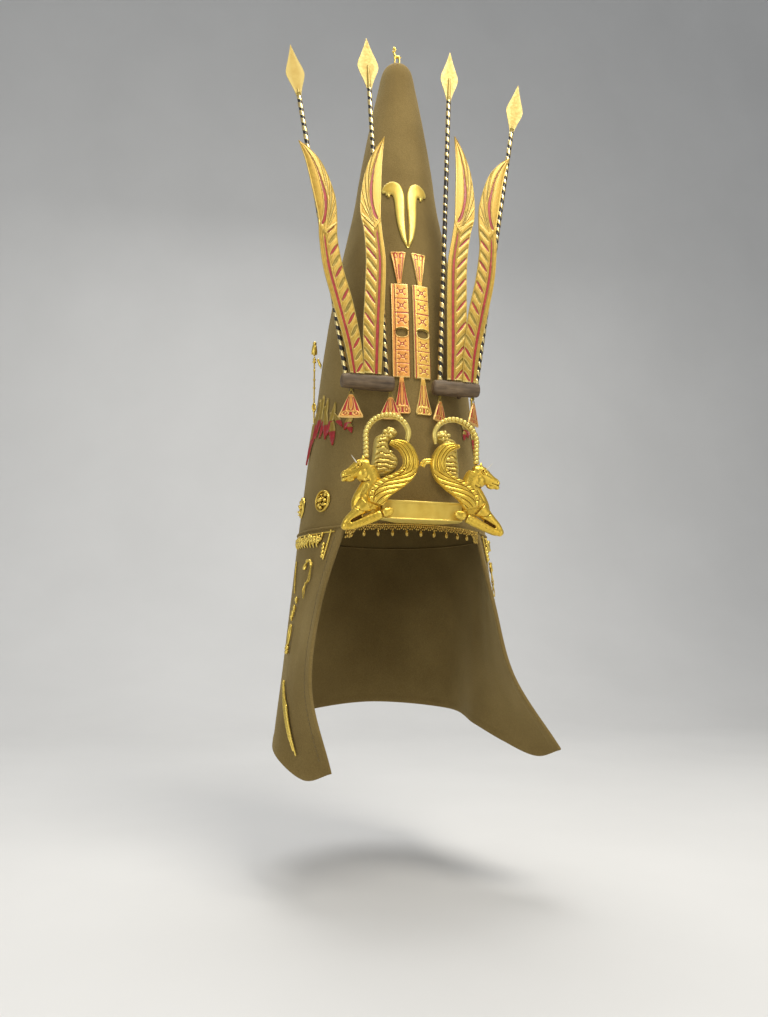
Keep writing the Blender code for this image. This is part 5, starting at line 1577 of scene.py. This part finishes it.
def flap_ornaments(word, side):
    """Leafy trim, twisted hook, linked beads with a ring, and a comb on a cheek flap."""
    def at(around, down, lift):
        return skirt_point(flap_at(side, around), np.asarray(down, float), SKIRT_GAP + lift)

    def cord(heap, rows, count, radii, sides=9):
        rows = smooth(rows, count)
        path = np.array([at(a, d, float(r)) for (a, d), r in zip(rows, np.broadcast_to(radii, count))])
        heap.add(*tube(path, radii, sides=sides))
        return path

    trim = Heap()
    cord(trim, ((0.30, 0.020), (1.4, 0.022), (2.45, 0.020)), 60, 0.0007)
    for k in range(34):
        around, level = 0.80 + 0.052 * k, 0.030 + 0.034 * ((k * 0.618) % 1)
        size = 1 + 0.25 * math.sin(k * 2.1)
        trim.add(*ball(at(around, level, 0.0014), mm(1.3, 1.2, 2.1) * size, side * 0.8 * math.sin(k * 1.7),
                       7, 10))
    for k in range(9):
        around = 0.95 + 0.19 * k
        cord(trim, ((around, 0.045), (around + 0.05, 0.065), (around + 0.01, 0.082)), 7,
             mm(1.1, 1.4, 1.4, 1.2, 0.9, 0.6, 0.25))
    cord(trim, ((0.457, 0.012), (0.457, 0.080), (0.473, 0.140)), 20, 0.0008)
    for k in range(4):
        spot = at(0.62 - 0.025 * k, 0.074 + 0.017 * k, 0.0012)
        trim.add(*ball(spot, mm(1.7, 1.2, 1.7), 0, 8, 12))
    piece("flap_leaves_" + word, trim, FINE_GOLD, (f"flap_trim_{word}",))

    hook = Heap()
    rows = smooth(((1.48, 0.180), (1.36, 0.145), (1.20, 0.136), (1.05, 0.158), (1.03, 0.192),
                   (1.04, 0.222), (1.20, 0.240), (1.26, 0.268), (1.18, 0.300)), 90)
    s = np.linspace(0, 1, 90)
    for strand in range(2):
        turn = s * 22 + strand * math.pi
        path = []
        for (a, d), t in zip(rows, turn):
            path.append(at(a + 0.022 * math.cos(t), d, 0.0016 + 0.0007 * math.sin(t)))
        hook.add(*tube(np.array(path), (1.15 - 0.6 * s) * (0.8 + 0.2 * np.sin(s * 38 + strand)) * MM,
                       sides=8))
    piece("twisted_hook_" + word, hook, FINE_GOLD, (f"hook_{word}",))

    ring = Heap()
    cord(ring, ((2.34, 0.145), (2.28, 0.22), (2.15, 0.300)), 20, 0.0007)
    for k, (a, d) in enumerate(smooth(((1.72, 0.322), (1.80, 0.368), (1.93, 0.408)), 4)):
        ring.add(*ball(at(a, d, 0.0018), mm(1.6, 1.6, 2.6), 0, 9, 14))
        ring.add(*ball(at(a, d + 0.014, 0.0014), 0.0010, 0, 6, 10))
    loop = [at(1.90 + 0.11 * math.cos(t), 0.487 + 0.044 * math.sin(t), 0.0016)
            for t in np.linspace(0, 2 * math.pi, 40)]
    ring.add(*tube(np.array(loop), 0.0010, sides=9, ends=False))
    for k in range(5):
        a, d = 1.88 + 0.075 * math.cos(k * 1.26), 0.552 + 0.014 * math.sin(k * 1.26)
        ring.add(*ball(at(a, d, 0.0018), 0.0018, 0, 7, 10))
    piece("ring_pendant_" + word, ring, FINE_GOLD, (f"ring_{word}",))

    comb = Heap()
    count = 60
    s = np.linspace(0, 1, count)
    wave = 0.0011 + 0.00035 * np.abs(np.sin(s * 16 * math.pi))
    for (top_a, top_d), (low_a, low_d) in (((1.80, 0.68), (1.16, 0.895)), ((1.36, 0.735), (1.07, 0.908))):
        path = np.array([at(top_a + (low_a - top_a) * k, top_d + (low_d - top_d) * k, 0.0012) for k in s])
        comb.add(*tube(path, wave * (1 - 0.45 * s), sides=9))
    for k in range(9):
        share = 0.04 + 0.085 * k
        a, d = 1.80 - 0.64 * share, 0.68 + 0.215 * share
        to_a, to_d = 1.36 - 0.29 * share, 0.735 + 0.173 * share
        cord(comb, ((a, d), ((a + to_a) / 2, (d + to_d) / 2 + 0.008), (to_a, to_d)), 7,
             mm(0.6, 1.0, 1.3, 1.3, 1.1, 0.8, 0.5), 7)
    piece("leafy_comb_" + word, comb, FINE_GOLD, (f"comb_{word}",))


def finial():
    """The little ram on spread legs at the peak."""
    heap = Heap()
    low = CROWN_HEIGHT + GAP
    half, tall = FINIAL_WIDTH / 2, FINIAL_HEIGHT

    def at(x, z, y=0.0):
        return np.array([x * half, y * half, low + z * tall])

    turns = circle(24)
    disc = [[(half * w * math.cos(t), half * w * math.sin(t), low + z * tall) for t in turns]
            for w, z in ((0.8, 0.0), (0.82, 0.04), (0.72, 0.08), (0.4, 0.10))]
    heap.add(*closed(disc))
    for x in (-0.55, 0.55):
        for y in (-0.22, 0.22):
            heap.add(*tube([at(x * 1.15, 0.03, y * 1.3), at(x, 0.28, y), at(x * 0.95, 0.52, y * 0.6)],
                           (0.00050, 0.00050, 0.00085)))
    heap.add(*ball(at(0.0, 0.53), np.array([0.86 * half, 0.36 * half, 0.36 * half]), 0.05, 9, 16))
    heap.add(*tube([at(-0.50, 0.55), at(-0.68, 0.68), at(-0.76, 0.78)], (0.0013, 0.0011, 0.0010), sides=12))
    heap.add(*ball(at(-0.90, 0.78), np.array([0.34 * half, 0.2 * half, 0.2 * half]), 0.5, 8, 14))
    for y in (-0.2, 0.2):
        curl = [at(-0.72 + 0.30 * math.cos(t), 0.86 + 0.10 * math.sin(t), y * (1 + 0.3 * k / 14))
                for k, t in enumerate(np.linspace(2.4, -2.2, 15))]
        heap.add(*tube(curl, np.linspace(0.00085, 0.0003, 15), sides=9))
    heap.add(*tube([at(0.80, 0.56), at(0.95, 0.50)], (0.0005, 0.0002)))
    return piece("ram_finial", heap, FINE_GOLD, ("finial",))


# Stage: camera, light and floor
VIEW_ANGLES = (-11.73, 9.12, 0.76)
VIEW_PLACE = (-0.154, -0.705, -0.087)
FOCAL_PIXELS = 764
PICTURE_HEIGHT = 1017


def camera():
    """The photograph's viewpoint, from its yaw, pitch and roll in degrees."""
    yaw, pitch, roll = (math.radians(a) for a in VIEW_ANGLES)
    forward = np.array([-math.sin(yaw) * math.cos(pitch), math.cos(yaw) * math.cos(pitch), math.sin(pitch)])
    right = np.array([math.cos(yaw), math.sin(yaw), 0.0])
    up = np.cross(right, forward)
    right, up = math.cos(roll) * right + math.sin(roll) * up, -math.sin(roll) * right + math.cos(roll) * up
    lens = bpy.data.cameras.new("camera")
    lens.sensor_fit = "VERTICAL"
    lens.sensor_height = 36.0
    lens.lens = FOCAL_PIXELS / PICTURE_HEIGHT * lens.sensor_height
    lens.clip_start = 0.02
    made = bpy.data.objects.new("camera", lens)
    bpy.context.collection.objects.link(made)
    made.matrix_world = Matrix([[*row] for row in np.vstack([np.column_stack(
        [right, up, -forward, VIEW_PLACE]), [0, 0, 0, 1]]).tolist()])
    bpy.context.scene.camera = made


def stage():
    """A pale floor that curves up into a pale backdrop, a soft sky and three soft lamps."""
    profile = [(-9.0, 0.0), (0.9, 0.0)]
    profile += [(0.9 + 0.8 * math.sin(t), 0.8 - 0.8 * math.cos(t)) for t in np.linspace(0.05, math.pi / 2,
                                                                                        24)]
    profile += [(1.7, 4.5)]
    floor_level = -0.30
    rows = np.array([[(x, y, floor_level + z) for x in (-9.0, 9.0)] for y, z in profile])
    data = bpy.data.meshes.new("floor")
    data.from_pydata(rows.reshape(-1, 3).tolist(), [], band_faces(len(profile), 2))
    data.shade_smooth()
    made = bpy.data.objects.new("floor", data)
    bpy.context.collection.objects.link(made)
    surface, nodes, links, body = shader("pale_floor")
    cloud = noise_node(nodes, links, 3.0)
    links.new(ramp(nodes, links, cloud, ((0.3, (0.72, 0.72, 0.71)), (0.7, (0.76, 0.76, 0.75)))),
              body.inputs["Base Color"])
    body.inputs["Roughness"].default_value = 0.85
    data.materials.append(surface)
    world = bpy.data.worlds.new("soft_sky")
    bpy.context.scene.world = world
    world.use_nodes = True
    world.node_tree.nodes["Background"].inputs["Color"].default_value = (0.95, 0.97, 1.0, 1.0)
    world.node_tree.nodes["Background"].inputs["Strength"].default_value = 0.34
    bpy.context.scene.view_settings.view_transform = "Standard"
    for name, place, size, power, colour in (
            ("key", (0.24, -0.62, 1.12), 0.55, 10.6, (1.0, 0.95, 0.86)),
            ("fill", (-1.3, -1.3, 0.35), 1.3, 9.0, (0.97, 0.98, 1.0)),
            ("low", (0.9, -1.3, 0.10), 1.2, 3.4, (1.0, 0.97, 0.93)),
            ("top", (0.0, 0.35, 1.6), 1.0, 15.0, (1.0, 0.98, 0.95))):
        lamp = bpy.data.lights.new(name, "AREA")
        lamp.shape, lamp.size, lamp.energy, lamp.color = "DISK", size, power, colour
        holder = bpy.data.objects.new(name, lamp)
        bpy.context.collection.objects.link(holder)
        holder.location = place
        aim = unit(np.array([0, 0, 0.15]) - place)
        back = -aim
        right = unit(np.cross((0, 0, 1), back)) if abs(back[2]) < 0.99 else np.array([1.0, 0, 0])
        holder.matrix_world = Matrix(np.vstack([np.column_stack([right, np.cross(back, right), back, place]),
                                                [0, 0, 0, 1]]).tolist())


def dress():
    felt_crown()
    felt_skirt()
    seam_welt()
    stitches()
    emblem_plate()
    brow_trim()
    finial()
    for word, side in SIDES:
        horse(word, side)
        wing(word, side)
        mane(word, side)
        horn(word, side)
        ear(word, side)
        bar(word, side)
        strip(word, side)
        tusk(word, side)
        peaks(word, side)
        tree(word, side)
        flap_ornaments(word, side)
    for number in range(1, 5):
        feather(number, *FEATHER_PLACES[number - 1])
        arrow(number, *ARROWS[number - 1])
        pendant(number, *PENDANTS[number - 1])
    for number, degrees in enumerate((-86, -57.5, 57.5, 86), 1):
        boss(number, degrees)


camera()
stage()
dress()
